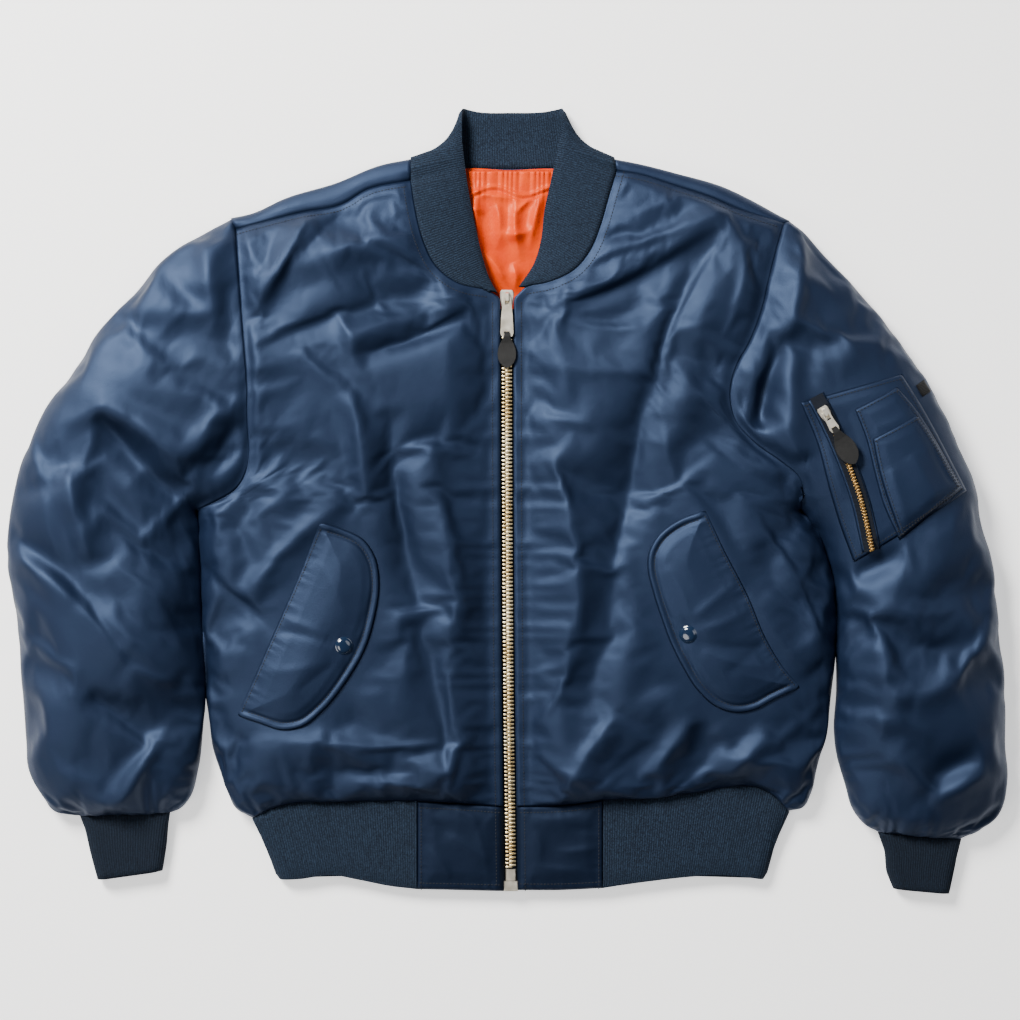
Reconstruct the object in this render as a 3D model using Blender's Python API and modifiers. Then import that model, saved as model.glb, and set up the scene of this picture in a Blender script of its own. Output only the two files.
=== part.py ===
"""Zip-front flight jacket in padded nylon with knitted collar, cuffs and hem, laid flat on its back.

Lengths in the tables are millimetres. X runs to the wearer's left, Y towards the collar and Z up
from the surface it lies on. The upper and lower walls of the body and of each sleeve meet in a
folded edge.
"""

import math

import bmesh
import bpy
import numpy as np
from mathutils import Vector
from mathutils.bvhtree import BVHTree

# ---------------------------------------------------------------- driving sizes
MM = 0.001
WALL = 3.0            # padded nylon: shell, wadding and lining together
KNIT = 3.5            # rib knit, doubled
LINING = 1.0
PATCH = 1.4           # unpadded nylon of the sleeve pocket
SEAM_GAP = 0.3
FOLD_GAP = 0.45       # between the two halves at a folded edge
EDGE = 13.0           # height of the folded side edge
LIP = 2.2             # upright part of the wall at the folded edge
ROLL = 62.0           # how far in from an edge the top still curves
BAND_TOP = 15.5       # top of the flattened hem band
CUFF_TOP = 16.5       # top of a flattened cuff
BAND_ROLL = 10.0
RIB_EDGE = 8.0        # height of the fold at a rib's free edge
TUBE_MIDDLE = 7.5     # between the two layers of a flattened tube
ZIP_HALF = 9.2        # from the zip's middle to the folded front edge
CHAIN_HALF = 4.9

# ---------------------------------------------------------------- outline tables
# Armhole of each side, from the shoulder tip down to the underarm: x, y.
ARMHOLE_RIGHT = (
    (-255.7, 253.8), (-252.9, 223.7), (-250.0, 188.0), (-246.3, 145.7), (-243.5, 108.1),
    (-243.5, 70.5), (-242.5, 44.2), (-245.3, 25.4), (-254.7, 9.4), (-271.7, -0.9),
    (-293.3, -10.3),
)
ARMHOLE_LEFT = (
    (257.6, 259.4), (250.0, 235.0), (242.5, 206.8), (235.9, 178.6), (223.7, 146.6),
    (211.5, 124.1), (205.9, 95.9), (211.5, 73.3), (229.4, 52.6), (253.8, 34.8), (271.7, 18.8),
    (273.5, -10.3),
)
TIP_RIGHT = (-261.3, 265.1)
TIP_LEFT = (264.1, 262.3)

# Side of the body from the underarm to the hem: x, y.
SIDE_RIGHT = (
    (-293.3, -10.3), (-290.0, -47.0), (-287.2, -94.0), (-285.3, -150.4), (-283.9, -178.6),
    (-281.1, -204.9), (-278.2, -233.1), (-271.7, -253.8), (-265.1, -272.6), (-256.6, -289.5),
    (-240.6, -298.9),
)
SIDE_LEFT = (
    (273.5, -10.3), (289.5, -28.2), (296.1, -51.7), (302.7, -75.2), (305.5, -108.1),
    (305.5, -141.0), (302.7, -183.3), (298.0, -220.9), (289.5, -251.0), (283.9, -275.4),
    (276.4, -288.6), (262.3, -292.3),
)

# Outside fold of each sleeve from the shoulder tip to the cuff: x, y.
SLEEVE_OUT_RIGHT = (
    (-261.3, 265.1), (-282.0, 254.7), (-329.9, 221.8), (-357.2, 188.9), (-390.1, 150.4),
    (-412.7, 117.5), (-435.2, 83.7), (-446.5, 58.3), (-455.0, 38.5), (-464.4, -0.9),
    (-470.0, -37.6), (-470.9, -56.4), (-467.2, -84.6), (-463.4, -121.3), (-458.7, -178.6),
    (-455.9, -223.7), (-451.2, -255.7), (-441.8, -273.5), (-429.6, -291.4), (-403.3, -297.0),
)
SLEEVE_OUT_LEFT = (
    (264.1, 262.3), (273.5, 255.7), (299.9, 227.5), (329.9, 195.5), (356.3, 163.6),
    (379.8, 131.6), (398.6, 102.5), (412.7, 74.3), (427.7, 39.5), (439.0, 15.0), (444.6, -18.8),
    (452.1, -47.9), (457.8, -94.0), (462.5, -131.6), (466.2, -169.2), (468.1, -224.7),
    (468.1, -267.9), (460.6, -296.1), (443.7, -310.2), (424.9, -318.7),
)
# Inside fold of each sleeve from the underarm to the cuff: x, y.
SLEEVE_IN_RIGHT = (
    (-293.3, -10.3), (-294.2, -42.3), (-291.9, -94.0), (-288.6, -150.4), (-287.2, -178.6),
    (-288.1, -212.4), (-291.4, -255.7), (-298.9, -279.2), (-309.3, -290.5), (-318.7, -293.3),
)
SLEEVE_IN_LEFT = (
    (273.5, -10.3), (282.9, -13.2), (294.2, -30.1), (301.7, -49.8), (307.4, -75.2),
    (310.2, -108.1), (309.7, -141.0), (306.4, -183.3), (304.1, -216.2), (307.4, -242.5),
    (314.0, -265.1), (323.4, -293.3), (333.7, -304.6), (346.9, -312.1),
)

# Shoulder fold from the tip to the collar, and the shoulder seam in front of it: x, y.
SHOULDER_RIGHT = (
    (-261.3, 265.1), (-243.5, 268.8), (-209.6, 283.9), (-162.6, 298.0), (-120.3, 314.9),
    (-92.1, 320.5),
)
SHOULDER_LEFT = (
    (264.1, 262.3), (258.5, 265.1), (227.5, 282.0), (204.0, 293.3), (156.0, 307.4),
    (123.1, 315.8), (98.7, 320.5),
)
SHOULDER_SEAM_RIGHT = (
    (-255.7, 253.8), (-193.6, 269.8), (-156.0, 277.3), (-134.4, 290.5), (-92.1, 299.9),
)
SHOULDER_SEAM_LEFT = (
    (257.6, 259.4), (213.4, 273.5), (191.8, 282.9), (156.0, 295.2), (123.1, 305.5),
    (100.6, 309.3),
)

# Neck seam of each front, from the shoulder to the zip: x, y.
NECK_RIGHT = (
    (-92.1, 299.9), (-87.4, 270.7), (-80.8, 244.4), (-67.7, 218.1), (-46.1, 202.1),
    (-20.7, 197.4),
)
NECK_LEFT = (
    (100.6, 309.3), (93.1, 283.9), (84.6, 254.7), (76.1, 234.1), (62.0, 216.2), (40.4, 204.9),
    (16.0, 200.2),
)
# Free edge of the collar opposite the same seam: x, y.
COLLAR_EDGE_RIGHT = (
    (-44.2, 338.4), (-39.5, 300.8), (-31.0, 254.7), (-23.5, 223.7), (-17.9, 206.8),
    (-13.2, 196.5),
)
COLLAR_EDGE_LEFT = (
    (48.9, 347.8), (44.2, 324.3), (39.5, 300.8), (32.9, 269.8), (30.1, 244.4), (24.4, 223.7),
    (12.2, 204.9),
)

# Hem seam of each front, from the side to the tab and from the tab to the zip: x, y.
HEM_RIGHT = (
    (-240.6, -298.9), (-224.7, -290.5), (-204.0, -284.8), (-168.3, -283.9), (-127.8, -282.9),
    (-86.5, -282.9),
)
TAB_TOP_RIGHT = ((-86.5, -282.9), (-46.1, -284.8), (-9.4, -287.6))
HEM_LEFT = (
    (262.3, -292.3), (250.0, -279.2), (235.0, -269.8), (209.6, -268.8), (184.2, -273.5),
    (141.9, -278.2), (88.4, -282.0),
)
TAB_TOP_LEFT = ((88.4, -282.0), (47.9, -286.7), (11.3, -287.6))
HEM_BACK = (
    (-240.6, -298.9), (-210.6, -290.5), (-158.9, -287.6), (0.0, -287.6), (170.1, -287.6),
    (235.9, -289.5), (262.3, -292.3),
)
# Bottom of the hem band under the same parts: x, y.
BAND_RIGHT = (
    (-216.2, -357.2), (-196.5, -356.3), (-168.3, -352.5), (-140.1, -357.2), (-111.9, -362.8),
    (-86.5, -365.7),
)
TAB_BOTTOM_RIGHT = ((-86.5, -365.7), (-46.1, -366.6), (-9.4, -367.5))
BAND_LEFT = (
    (239.7, -357.2), (228.4, -355.3), (201.2, -352.5), (167.3, -354.4), (141.9, -357.2),
    (100.6, -362.8), (88.4, -364.7),
)
TAB_BOTTOM_LEFT = ((88.4, -364.7), (47.9, -366.6), (11.3, -366.6))
BAND_BACK = (
    (-216.2, -357.2), (-158.9, -355.3), (0.0, -361.0), (170.1, -355.3), (239.7, -357.2),
)
NECK_BACK = (
    (-92.1, 320.5), (-74.3, 316.8), (-41.4, 314.0), (0.9, 313.0), (45.1, 314.0), (80.8, 316.8),
    (98.7, 320.5),
)
# Middle of the zip: x, y.
ZIP_LINE = (
    (-1.9, 194.6), (-1.9, 75.2), (-1.4, -56.4), (-0.3, -197.4), (0.9, -287.6), (1.9, -367.5),
)

# ---------------------------------------------------------------- height tables
# Height of the top surface well inside its edges: x, y, height.
CROWNS = (
    (-196.5, 270.7, 27), (-116.6, 291.4, 25), (-102.5, 225.6, 31), (-196.5, 197.4, 36),
    (-154.2, 112.8, 40), (-74.3, 94.0, 36), (-210.6, 18.8, 38), (-102.5, -56.4, 38),
    (-243.5, -94.0, 38), (-168.3, -141.0, 38), (-83.7, -206.8, 36), (-224.7, -225.6, 35),
    (-149.5, -253.8, 33), (123.1, 282.0, 26), (207.7, 244.4, 31), (85.5, 197.4, 31),
    (170.1, 159.8, 38), (85.5, 75.2, 36), (188.9, 47.0, 38), (104.3, -75.2, 38),
    (217.1, -75.2, 38), (141.9, -188.0, 38), (76.1, -225.6, 34), (245.3, -206.8, 35),
    (179.5, -244.4, 32), (-267.0, 220.9, 39), (-328.1, 169.2, 49), (-285.8, 131.6, 48),
    (-375.1, 103.4, 54), (-323.4, 65.8, 54), (-422.1, 28.2, 53), (-365.7, 0.0, 54),
    (-422.1, -56.4, 50), (-370.4, -112.8, 53), (-332.8, -56.4, 48), (-412.7, -169.2, 47),
    (-356.3, -216.2, 45), (-365.7, -267.9, 36), (273.5, 216.2, 41), (320.5, 159.8, 49),
    (287.6, 94.0, 48), (348.7, 94.0, 53), (386.3, 28.2, 53), (339.3, -18.8, 52),
    (395.7, -84.6, 53), (358.1, -150.4, 50), (409.8, -206.8, 48), (395.7, -282.0, 36),
)
CROWN_REACH = 50.0
# Height along the zip: y, height.
ZIP_HEIGHTS = (
    (200.0, 24.0), (120.0, 24.0), (60.0, 26.5), (-120.0, 27.0), (-200.0, 24.0),
    (-250.0, 19.5), (-287.0, 15.5), (-372.0, 15.5),
)
# Largest folds: start x, y, bend x, y, end x, y, half width, height (a trough is negative).
FOLDS = (
    (-232.2, 188.0, -154.2, 261.3, -74.3, 218.1, 17, 5.5),
    (-247.2, 141.0, -168.3, 171.1, -64.9, 197.4, 14, -5.5),
    (-154.2, 141.0, -102.5, 176.7, -36.7, 188.0, 12, 4.5),
    (-141.9, 129.7, -93.1, 157.9, -36.7, 173.0, 12, -4.5),
    (-147.6, 101.5, -132.5, 65.8, -130.7, 0.0, 12, 4.0),
    (-113.7, 79.9, -100.6, -56.4, -55.5, -230.3, 14, -6.0),
    (-79.0, 56.4, -53.6, -56.4, -38.5, -141.0, 13, 3.5),
    (-243.5, -94.0, -210.6, -32.9, -149.5, 0.0, 11, 4.0),
    (-252.9, -230.3, -149.5, -227.5, -50.8, -258.5, 15, 4.0),
    (-185.2, 277.3, -196.5, 223.7, -241.6, 185.2, 11, 4.0),
    (49.8, 186.1, 123.1, 214.3, 205.9, 265.1, 14, 5.5),
    (203.0, 244.4, 134.4, 169.2, 145.7, 56.4, 13, -5.5),
    (217.1, 244.4, 170.1, 159.8, 165.4, 75.2, 15, 4.0),
    (52.6, 171.1, 104.3, 155.1, 132.5, 188.0, 12, -4.0),
    (130.7, 112.8, 111.9, -18.8, 59.2, -253.8, 17, -6.0),
    (36.7, 47.0, 78.0, -56.4, 49.8, -188.0, 14, 4.0),
    (156.0, 16.9, 212.4, -65.8, 279.2, -161.7, 12, 4.5),
    (228.4, -42.3, 266.0, -103.4, 279.2, -131.6, 11, -4.5),
    (52.6, -272.6, 78.0, -236.9, 104.3, -199.3, 11, 4.5),
    (123.1, -258.5, 153.2, -239.7, 173.9, -202.1, 11, 4.5),
    (200.2, -263.2, 221.8, -236.9, 243.5, -216.2, 11, 4.5),
    (212.4, 112.8, 228.4, 84.6, 245.3, 56.4, 11, -5.0),
    (-282.0, 249.1, -275.4, 206.8, -269.8, 155.1, 11, 4.5),
    (-266.0, 235.0, -260.4, 164.5, -250.0, 108.1, 11, -5.0),
    (-326.2, 210.6, -304.6, 188.0, -269.8, 176.7, 11, -4.5),
    (-380.7, 88.4, -337.5, 77.1, -294.2, 35.7, 12, 5.0),
    (-378.8, 77.1, -354.4, 42.3, -305.5, 0.0, 14, -10.0),
    (-404.2, 30.1, -395.7, -9.4, -387.3, -56.4, 11, 5.5),
    (-384.5, 26.3, -363.8, -4.7, -335.6, -32.9, 13, -7.0),
    (-252.9, 70.5, -258.5, 42.3, -284.8, 26.3, 12, -9.0),
    (-260.4, 86.5, -281.1, 56.4, -299.9, 35.7, 11, 4.5),
    (-459.7, -32.9, -403.3, -70.5, -358.1, -136.3, 12, -5.5),
    (-454.0, -52.6, -389.2, -94.0, -309.3, -167.3, 12, 6.0),
    (-403.3, -180.5, -365.7, -188.0, -323.4, -218.1, 12, -6.5),
    (-329.9, -230.3, -346.9, -258.5, -369.4, -289.5, 11, 4.5),
    (273.5, 244.4, 268.8, 197.4, 260.4, 150.4, 11, 4.5),
    (253.8, 141.0, 232.2, 98.7, 243.5, 67.7, 12, -12.0),
    (266.0, 139.1, 251.0, 103.4, 273.5, 37.6, 11, 6.0),
    (320.5, -71.4, 341.2, -64.9, 369.4, -52.6, 11, -5.5),
    (331.8, -99.6, 352.5, -99.6, 381.6, -109.0, 11, 4.0),
    (331.8, -127.8, 356.3, -150.4, 343.1, -173.0, 11, 4.5),
    (343.1, -178.6, 391.0, -186.1, 446.5, -131.6, 13, 4.0),
    (358.1, -230.3, 378.8, -249.1, 390.1, -270.7, 11, 4.0),
    (391.0, -280.1, 416.4, -265.1, 442.7, -249.1, 12, 5.5),
    (391.0, -261.3, 409.8, -242.5, 435.2, -236.9, 11, -5.5),
)

# ---------------------------------------------------------------- step tables
# Where a panel's sections fall along each edge, as fractions of that edge.
ARM_STEPS = (0, 0.09, 0.18, 0.27, 0.36, 0.45, 0.54, 0.63, 0.72, 0.81, 0.90, 0.97, 1)
UNDER_ARM_STEPS = (0, 0.05, 0.18, 0.36, 0.54, 0.72, 0.86, 0.96, 1)
SIDE_STEPS = (0, 0.04, 0.12, 0.21, 0.30, 0.39, 0.48, 0.57, 0.66, 0.75, 0.84, 0.92, 0.97, 1)
NECK_STEPS = (0, 0.17, 0.34, 0.51, 0.68, 0.85, 1)
ZIP_STEPS = (
    0.012, 0.09, 0.17, 0.25, 0.32, 0.38, 0.43, 0.48, 0.53, 0.58, 0.63, 0.68, 0.73, 0.78, 0.83,
    0.88, 0.92, 0.96, 1,
)
SHOULDER_STEPS = (0, 0.1, 0.22, 0.34, 0.46, 0.58, 0.7, 0.82, 0.92, 1)
HEM_STEPS = (0, 0.02, 0.06, 0.12, 0.2, 0.3, 0.4, 0.5, 0.6, 0.7, 0.8, 0.9, 1)
TAB_STEPS = (0, 0.17, 0.34, 0.51, 0.68, 0.85, 1)
ARM_TURN_RIGHT = 8     # the step of the armhole where a sleeve's short edge ends
ARM_TURN_LEFT = 7
UNDER_ARM_TURN_RIGHT = 5
UNDER_ARM_TURN_LEFT = 4
OUTSIDE_STEPS = (
    0, 0.055, 0.11, 0.165, 0.22, 0.28, 0.33, 0.38, 0.43, 0.48, 0.53, 0.58, 0.63, 0.68, 0.73,
    0.78, 0.83, 0.88, 0.93, 0.965, 0.985, 1,
)
INSIDE_STEPS = (
    0, 0.05, 0.12, 0.19, 0.26, 0.33, 0.40, 0.47, 0.54, 0.60, 0.66, 0.72, 0.78, 0.84, 0.90,
    0.94, 0.97, 1,
)
UNDER_OUTSIDE_STEPS = (0, 0.08, 0.15, 0.22, 0.31, 0.4, 0.5, 0.6, 0.7, 0.8, 0.9, 0.96, 1)
UNDER_INSIDE_STEPS = (0, 0.08, 0.2, 0.32, 0.45, 0.58, 0.7, 0.82, 0.93, 1)
BACK_SIDE_STEPS = (0, 0.03, 0.1, 0.25, 0.4, 0.55, 0.7, 0.85, 1)
BACK_HEM_STEPS = (0, 0.007, 0.024, 0.05, 0.09, 0.135, 0.185, 0.235, 0.285, 0.335, 0.39, 0.445, 0.5)
NECK_BACK_STEPS = (0, 0.08, 0.28, 0.5, 0.72, 0.92, 1)
ACROSS = (0, 0.25, 0.5, 0.75, 1)

NAVY = (0.020, 0.045, 0.110, 1)
NAVY_KNIT = (0.030, 0.065, 0.125, 1)
ORANGE = (0.85, 0.10, 0.01, 1)
BRASS = (0.62, 0.50, 0.28, 1)
NICKEL = (0.72, 0.70, 0.66, 1)
BLACK = (0.012, 0.012, 0.013, 1)


# ---------------------------------------------------------------- curves and heights
def spline(points, steps):
    """Points on a smooth curve through the given ones, at fractions of its length."""
    points = np.array(points, float)
    lengths = np.linalg.norm(np.diff(points, axis=0), axis=1)
    knots = np.concatenate([[0], np.cumsum(lengths)]) / lengths.sum()
    slopes = np.gradient(points, knots, axis=0)
    steps = np.asarray(steps, float)
    index = np.clip(np.searchsorted(knots, steps, side="right") - 1, 0, len(knots) - 2)
    span = (knots[index + 1] - knots[index])[:, None]
    t = (steps - knots[index])[:, None] / span
    first = (1 + 2 * t) * (1 - t) ** 2 * points[index]
    second = t * t * (3 - 2 * t) * points[index + 1]
    leaving = t * (1 - t) ** 2 * span * slopes[index]
    arriving = t * t * (t - 1) * span * slopes[index + 1]
    return first + second + leaving + arriving


def halved(points):
    """The same line with a point added in the middle of each piece."""
    middles = (points[1:] + points[:-1]) / 2
    out = np.empty((len(points) * 2 - 1, 2))
    out[0::2] = points
    out[1::2] = middles
    return out


def nearest(spots, line):
    """Distance from each spot to a line of points, and how far along it the nearest point is."""
    start = line[:-1]
    along = line[1:] - start
    t = ((spots[:, None] - start) * along).sum(2) / (along**2).sum(1)
    t = np.clip(t, 0, 1)
    gaps = np.linalg.norm(spots[:, None] - start - t[..., None] * along, axis=2)
    best = gaps.argmin(1)
    rows = np.arange(len(spots))
    return gaps[rows, best], (best + t[rows, best]) / len(start)


def roll(t):
    """Quarter circle: upright at 0 and level from 1 on."""
    t = np.clip(t, 0, 1)
    return np.sqrt(1 - (1 - t) ** 2)


def ease(t):
    t = np.clip(t, 0, 1)
    return t * t * (3 - 2 * t)


def fine(points):
    return spline(points, np.linspace(0, 1, 3 * len(points)))


SILHOUETTES = [
    fine(line)
    for line in (
        SIDE_RIGHT, SIDE_LEFT, SLEEVE_OUT_RIGHT, SLEEVE_OUT_LEFT, SLEEVE_IN_RIGHT,
        SLEEVE_IN_LEFT, SHOULDER_RIGHT, SHOULDER_LEFT,
    )
]
HEMS = [fine(line) for line in (HEM_RIGHT, TAB_TOP_RIGHT, HEM_LEFT, TAB_TOP_LEFT)]
CUFF_SEAMS = [
    np.array((SLEEVE_OUT_RIGHT[-1], SLEEVE_IN_RIGHT[-1])),
    np.array((SLEEVE_OUT_LEFT[-1], SLEEVE_IN_LEFT[-1])),
]
# Seams that lie in a groove: line, depth, half width.
GROOVES = (
    (fine(ARMHOLE_RIGHT), 4.0, 9.0),
    (fine(ARMHOLE_LEFT), 4.0, 9.0),
    (fine(SHOULDER_SEAM_RIGHT), 3.0, 7.0),
    (fine(SHOULDER_SEAM_LEFT), 3.0, 7.0),
    (fine(NECK_RIGHT), 2.5, 8.0),
    (fine(NECK_LEFT), 2.5, 8.0),
)


def edge_distance(spots):
    return np.min([nearest(spots, line)[0] for line in SILHOUETTES], axis=0)


def crown_height(spots):
    table = np.array(CROWNS)
    gaps = np.linalg.norm(spots[:, None] - table[:, :2], axis=2)
    weights = np.exp(-((gaps / CROWN_REACH) ** 2)) + 1e-9
    return (weights * table[:, 2]).sum(1) / weights.sum(1)


def fold_height(spots):
    total = np.zeros(len(spots))
    t = np.linspace(0, 1, 9)[:, None]
    for row in FOLDS:
        start, bend, end = (np.array(row[i : i + 2]) for i in (0, 2, 4))
        line = (1 - t) ** 2 * start + 2 * t * (1 - t) * bend + t * t * end
        gap, along = nearest(spots, line)
        taper = np.sqrt(np.clip(np.sin(math.pi * along), 0, 1))
        total += row[7] * np.exp(-((gap / row[6]) ** 2)) * taper
    return total


def zip_middle(y):
    line = fine(ZIP_LINE)[::-1]
    return np.interp(y, line[:, 1], line[:, 0])


def zip_height(y):
    table = np.array(ZIP_HEIGHTS)[::-1]
    return np.interp(y, table[:, 0], table[:, 1])


def top_height(spots):
    """Height of the garment's outer top surface above each spot of the plan."""
    shape = spots.shape[:-1]
    spots = spots.reshape(-1, 2)
    edge = edge_distance(spots)
    height = EDGE + (crown_height(spots) - EDGE) * roll(edge / ROLL)
    seams = [nearest(spots, line)[0] for line, depth, width in GROOVES]
    height += fold_height(spots) * ease(edge / 24) * ease((np.min(seams, axis=0) - 3) / 18)
    for gap, (line, depth, width) in zip(seams, GROOVES):
        height -= depth * np.exp(-((gap / width) ** 2)) * ease(edge / 16)
    for lines, level, reach in ((HEMS, BAND_TOP, 30.0), (CUFF_SEAMS, CUFF_TOP, 24.0)):
        gap = np.min([nearest(spots, line)[0] for line in lines], axis=0)
        floor = EDGE + (level - EDGE) * roll(edge / BAND_ROLL)
        height = floor + (height - floor) * roll(gap / reach)
    beside = np.abs(spots[:, 0] - zip_middle(spots[:, 1]))
    share = np.where(spots[:, 1] < 210, 1 - ease((beside - 12) / 45), 0)
    height += (zip_height(spots[:, 1]) - height) * share
    return height.reshape(shape)


def under_height(spots):
    """Height of the underside: on the floor, and curving up to the folded edge."""
    shape = spots.shape[:-1]
    edge = edge_distance(spots.reshape(-1, 2))
    return ((EDGE - FOLD_GAP) * (1 - roll(edge / EDGE))).reshape(shape)


# ---------------------------------------------------------------- meshes
def coons(left, right, top, bottom):
    """Plan of a four-sided panel, in rows that run from its left border to its right one."""
    rows, columns = len(left), len(top)
    v = np.linspace(0, 1, rows)[:, None, None]
    u = np.linspace(0, 1, columns)[None, :, None]
    across = (1 - u) * left[:, None] + u * right[:, None]
    down = (1 - v) * top[None] + v * bottom[None]
    high = (1 - u) * top[0] + u * top[-1]
    low = (1 - u) * bottom[0] + u * bottom[-1]
    corners = (1 - v) * high + v * low
    return across + down - corners


def inset(plan, amount=SEAM_GAP / 2):
    """Moves the border of a plan grid inwards, square to the border."""
    plan = plan.copy()
    middle = plan.copy()
    for turn in range(4):
        edge = np.rot90(middle, turn)[0]
        inner = np.rot90(middle, turn)[1]
        along = np.gradient(edge, axis=0)
        square = np.stack([-along[:, 1], along[:, 0]], axis=1)
        square /= np.linalg.norm(square, axis=1)[:, None] + 1e-9
        side = np.sign((square * (inner - edge)).sum(1).sum())
        np.rot90(plan, turn)[0] += side * amount * square
    return plan


def lip_column(plan, side, folded):
    """Repeats a border's column, on the spot where it is folded and a little inside elsewhere."""
    edge = plan[:, side]
    inner = plan[:, 1 if side == 0 else -2]
    lean = inner - edge
    lean /= np.linalg.norm(lean, axis=1)[:, None] + 1e-9
    step = np.ones(len(plan))
    step[folded] = 0.0
    at = 1 if side == 0 else plan.shape[1] - 1
    return np.insert(plan, at, edge + step[:, None] * lean, axis=1)


def fold_edge(grid, rows, side, lift):
    """Sets the heights of a folded edge and of the lip beside it."""
    start = EDGE if lift > 0 else EDGE - FOLD_GAP
    grid[rows, side, 2] = start
    grid[rows, 1 if side == 0 else -2, 2] = start + lift


def ease_corner(grid, row, side, lift):
    """Draws a corner where two folded edges meet in from its neighbours."""
    grid[row, side, 2] += lift
    grid[row, 1 if side == 0 else -2, 2] += lift


def material(name, colour, metallic, roughness):
    made = bpy.data.materials.new(name)
    made.use_nodes = True
    shader = made.node_tree.nodes["Principled BSDF"]
    shader.inputs["Base Color"].default_value = colour
    shader.inputs["Metallic"].default_value = metallic
    shader.inputs["Roughness"].default_value = roughness
    made.diffuse_color = colour
    return made


def add_object(name, mesh, look):
    made = bpy.data.objects.new(name, mesh)
    jacket.objects.link(made)
    made.data.materials.append(material("look_" + name, *look))
    return made


def grid_faces(rows, columns):
    index = np.arange(rows * columns).reshape(rows, columns)
    quads = (index[:-1, :-1], index[1:, :-1], index[1:, 1:], index[:-1, 1:])
    return np.stack([quad.ravel() for quad in quads], axis=1)


def surface(name, points, faces, upwards, thickness, look, middle=None):
    """Open surface given a wall on its inner side. A tube faces away from its middle height."""
    mesh = bpy.data.meshes.new(name)
    mesh.from_pydata((points * MM).tolist(), [], faces.tolist())
    mesh.update()
    level = 0.0
    for face in mesh.polygons:
        turned = middle is not None and face.center.z < middle * MM
        level += face.normal.z * face.area * (-1 if turned else 1)
    if (level > 0) != upwards:
        mesh.flip_normals()
    mesh.shade_smooth()
    made = add_object(name, mesh, look)
    wall = made.modifiers.new("wall", "SOLIDIFY")
    wall.thickness = thickness * MM
    wall.offset = -1.0
    return made


def sheet(name, grid, upwards, thickness, look, middle=None):
    rows, columns = grid.shape[:2]
    faces = grid_faces(rows, columns)
    return surface(name, grid.reshape(-1, 3), faces, upwards, thickness, look, middle)


def parted(rows, at_start, at_end):
    """Rows of a sheet, drawn back from its neighbours where it is parted from them."""
    rows = rows.copy()
    for place, beside, moved in ((0, 1, at_start), (-1, -2, at_end)):
        away = rows[beside] - rows[place]
        reach = np.linalg.norm(away, axis=-1, keepdims=True)
        rows[place] += away / reach * SEAM_GAP * 0.7 * moved
    return rows


def with_height(plan, heights):
    return np.concatenate([plan, heights[..., None]], axis=-1)


def lay_on(plan, below, clearance):
    """Grid that lies just above the solids below it, and clear of them between its spots too."""
    graph = bpy.context.evaluated_depsgraph_get()
    trees = [BVHTree.FromObject(item, graph) for item in below]

    def ground(spot):
        hits = [tree.ray_cast(Vector((*(spot * MM), 0.3)), Vector((0, 0, -1)))[0] for tree in trees]
        return max((hit.z / MM for hit in hits if hit), default=0.0)

    flat = plan.reshape(-1, 2)
    heights = np.array([ground(spot) for spot in flat]).reshape(plan.shape[:2])
    lift = 0.0
    for a, b in [(a, b) for a in np.linspace(0, 1, 6) for b in np.linspace(0, 1, 6)]:
        weights = ((1 - a) * (1 - b), a * (1 - b), (1 - a) * b, a * b)
        corners = (slice(None, -1), slice(1, None))
        spots = 0
        levels = 0
        for weight, (i, j) in zip(weights, ((0, 0), (1, 0), (0, 1), (1, 1))):
            spots = spots + weight * plan[corners[i], corners[j]]
            levels = levels + weight * heights[corners[i], corners[j]]
        real = np.array([ground(spot) for spot in spots.reshape(-1, 2)])
        lift = max(lift, (real - levels.ravel()).max())
    return with_height(plan, heights + lift + clearance)


def as_helper(item):
    """Takes a shape out of the jacket, but keeps it for others to be fitted to."""
    jacket.objects.unlink(item)
    helpers.objects.link(item)
    item.hide_render = True
    item.display_type = "WIRE"
    return item


def union(body, other):
    """Joins a second closed body to the first and drops it."""
    joint = body.modifiers.new("joined", "BOOLEAN")
    joint.operation = "UNION"
    joint.solver = "EXACT"
    joint.object = as_helper(other)


def strip_along(middles, heights, offsets, drop):
    """Grid beside a line that runs down the garment: one column for each sideways offset."""
    plan = np.stack([middles + np.array((offset, 0.0)) for offset in offsets], axis=1)
    level = np.repeat((heights - drop)[:, None], len(offsets), axis=1)
    return with_height(plan, level)


def closed_body(name, points, faces, look):
    mesh = bpy.data.meshes.new(name)
    mesh.from_pydata((points.reshape(-1, 3) * MM).tolist(), [], faces)
    made = add_object(name, mesh, look)
    tidy = bmesh.new()
    tidy.from_mesh(mesh)
    bmesh.ops.recalc_face_normals(tidy, faces=tidy.faces)
    tidy.to_mesh(mesh)
    tidy.free()
    mesh.shade_smooth()
    mesh.set_sharp_from_angle(angle=math.radians(35))
    return made


def sides(count, around):
    """Faces between each ring of points and the next."""
    faces = []
    for i in range(count - 1):
        for j in range(around):
            k = (j + 1) % around
            near, far = i * around, (i + 1) * around
            faces.append((near + j, near + k, far + k, far + j))
    return faces


def loft(name, rings, look):
    """Closed body through rings of points, with a flat end at each side."""
    count, around = rings.shape[:2]
    faces = sides(count, around)
    faces.append(tuple(range(around))[::-1])
    faces.append(tuple((count - 1) * around + j for j in range(around)))
    return closed_body(name, rings, faces, look)


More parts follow.
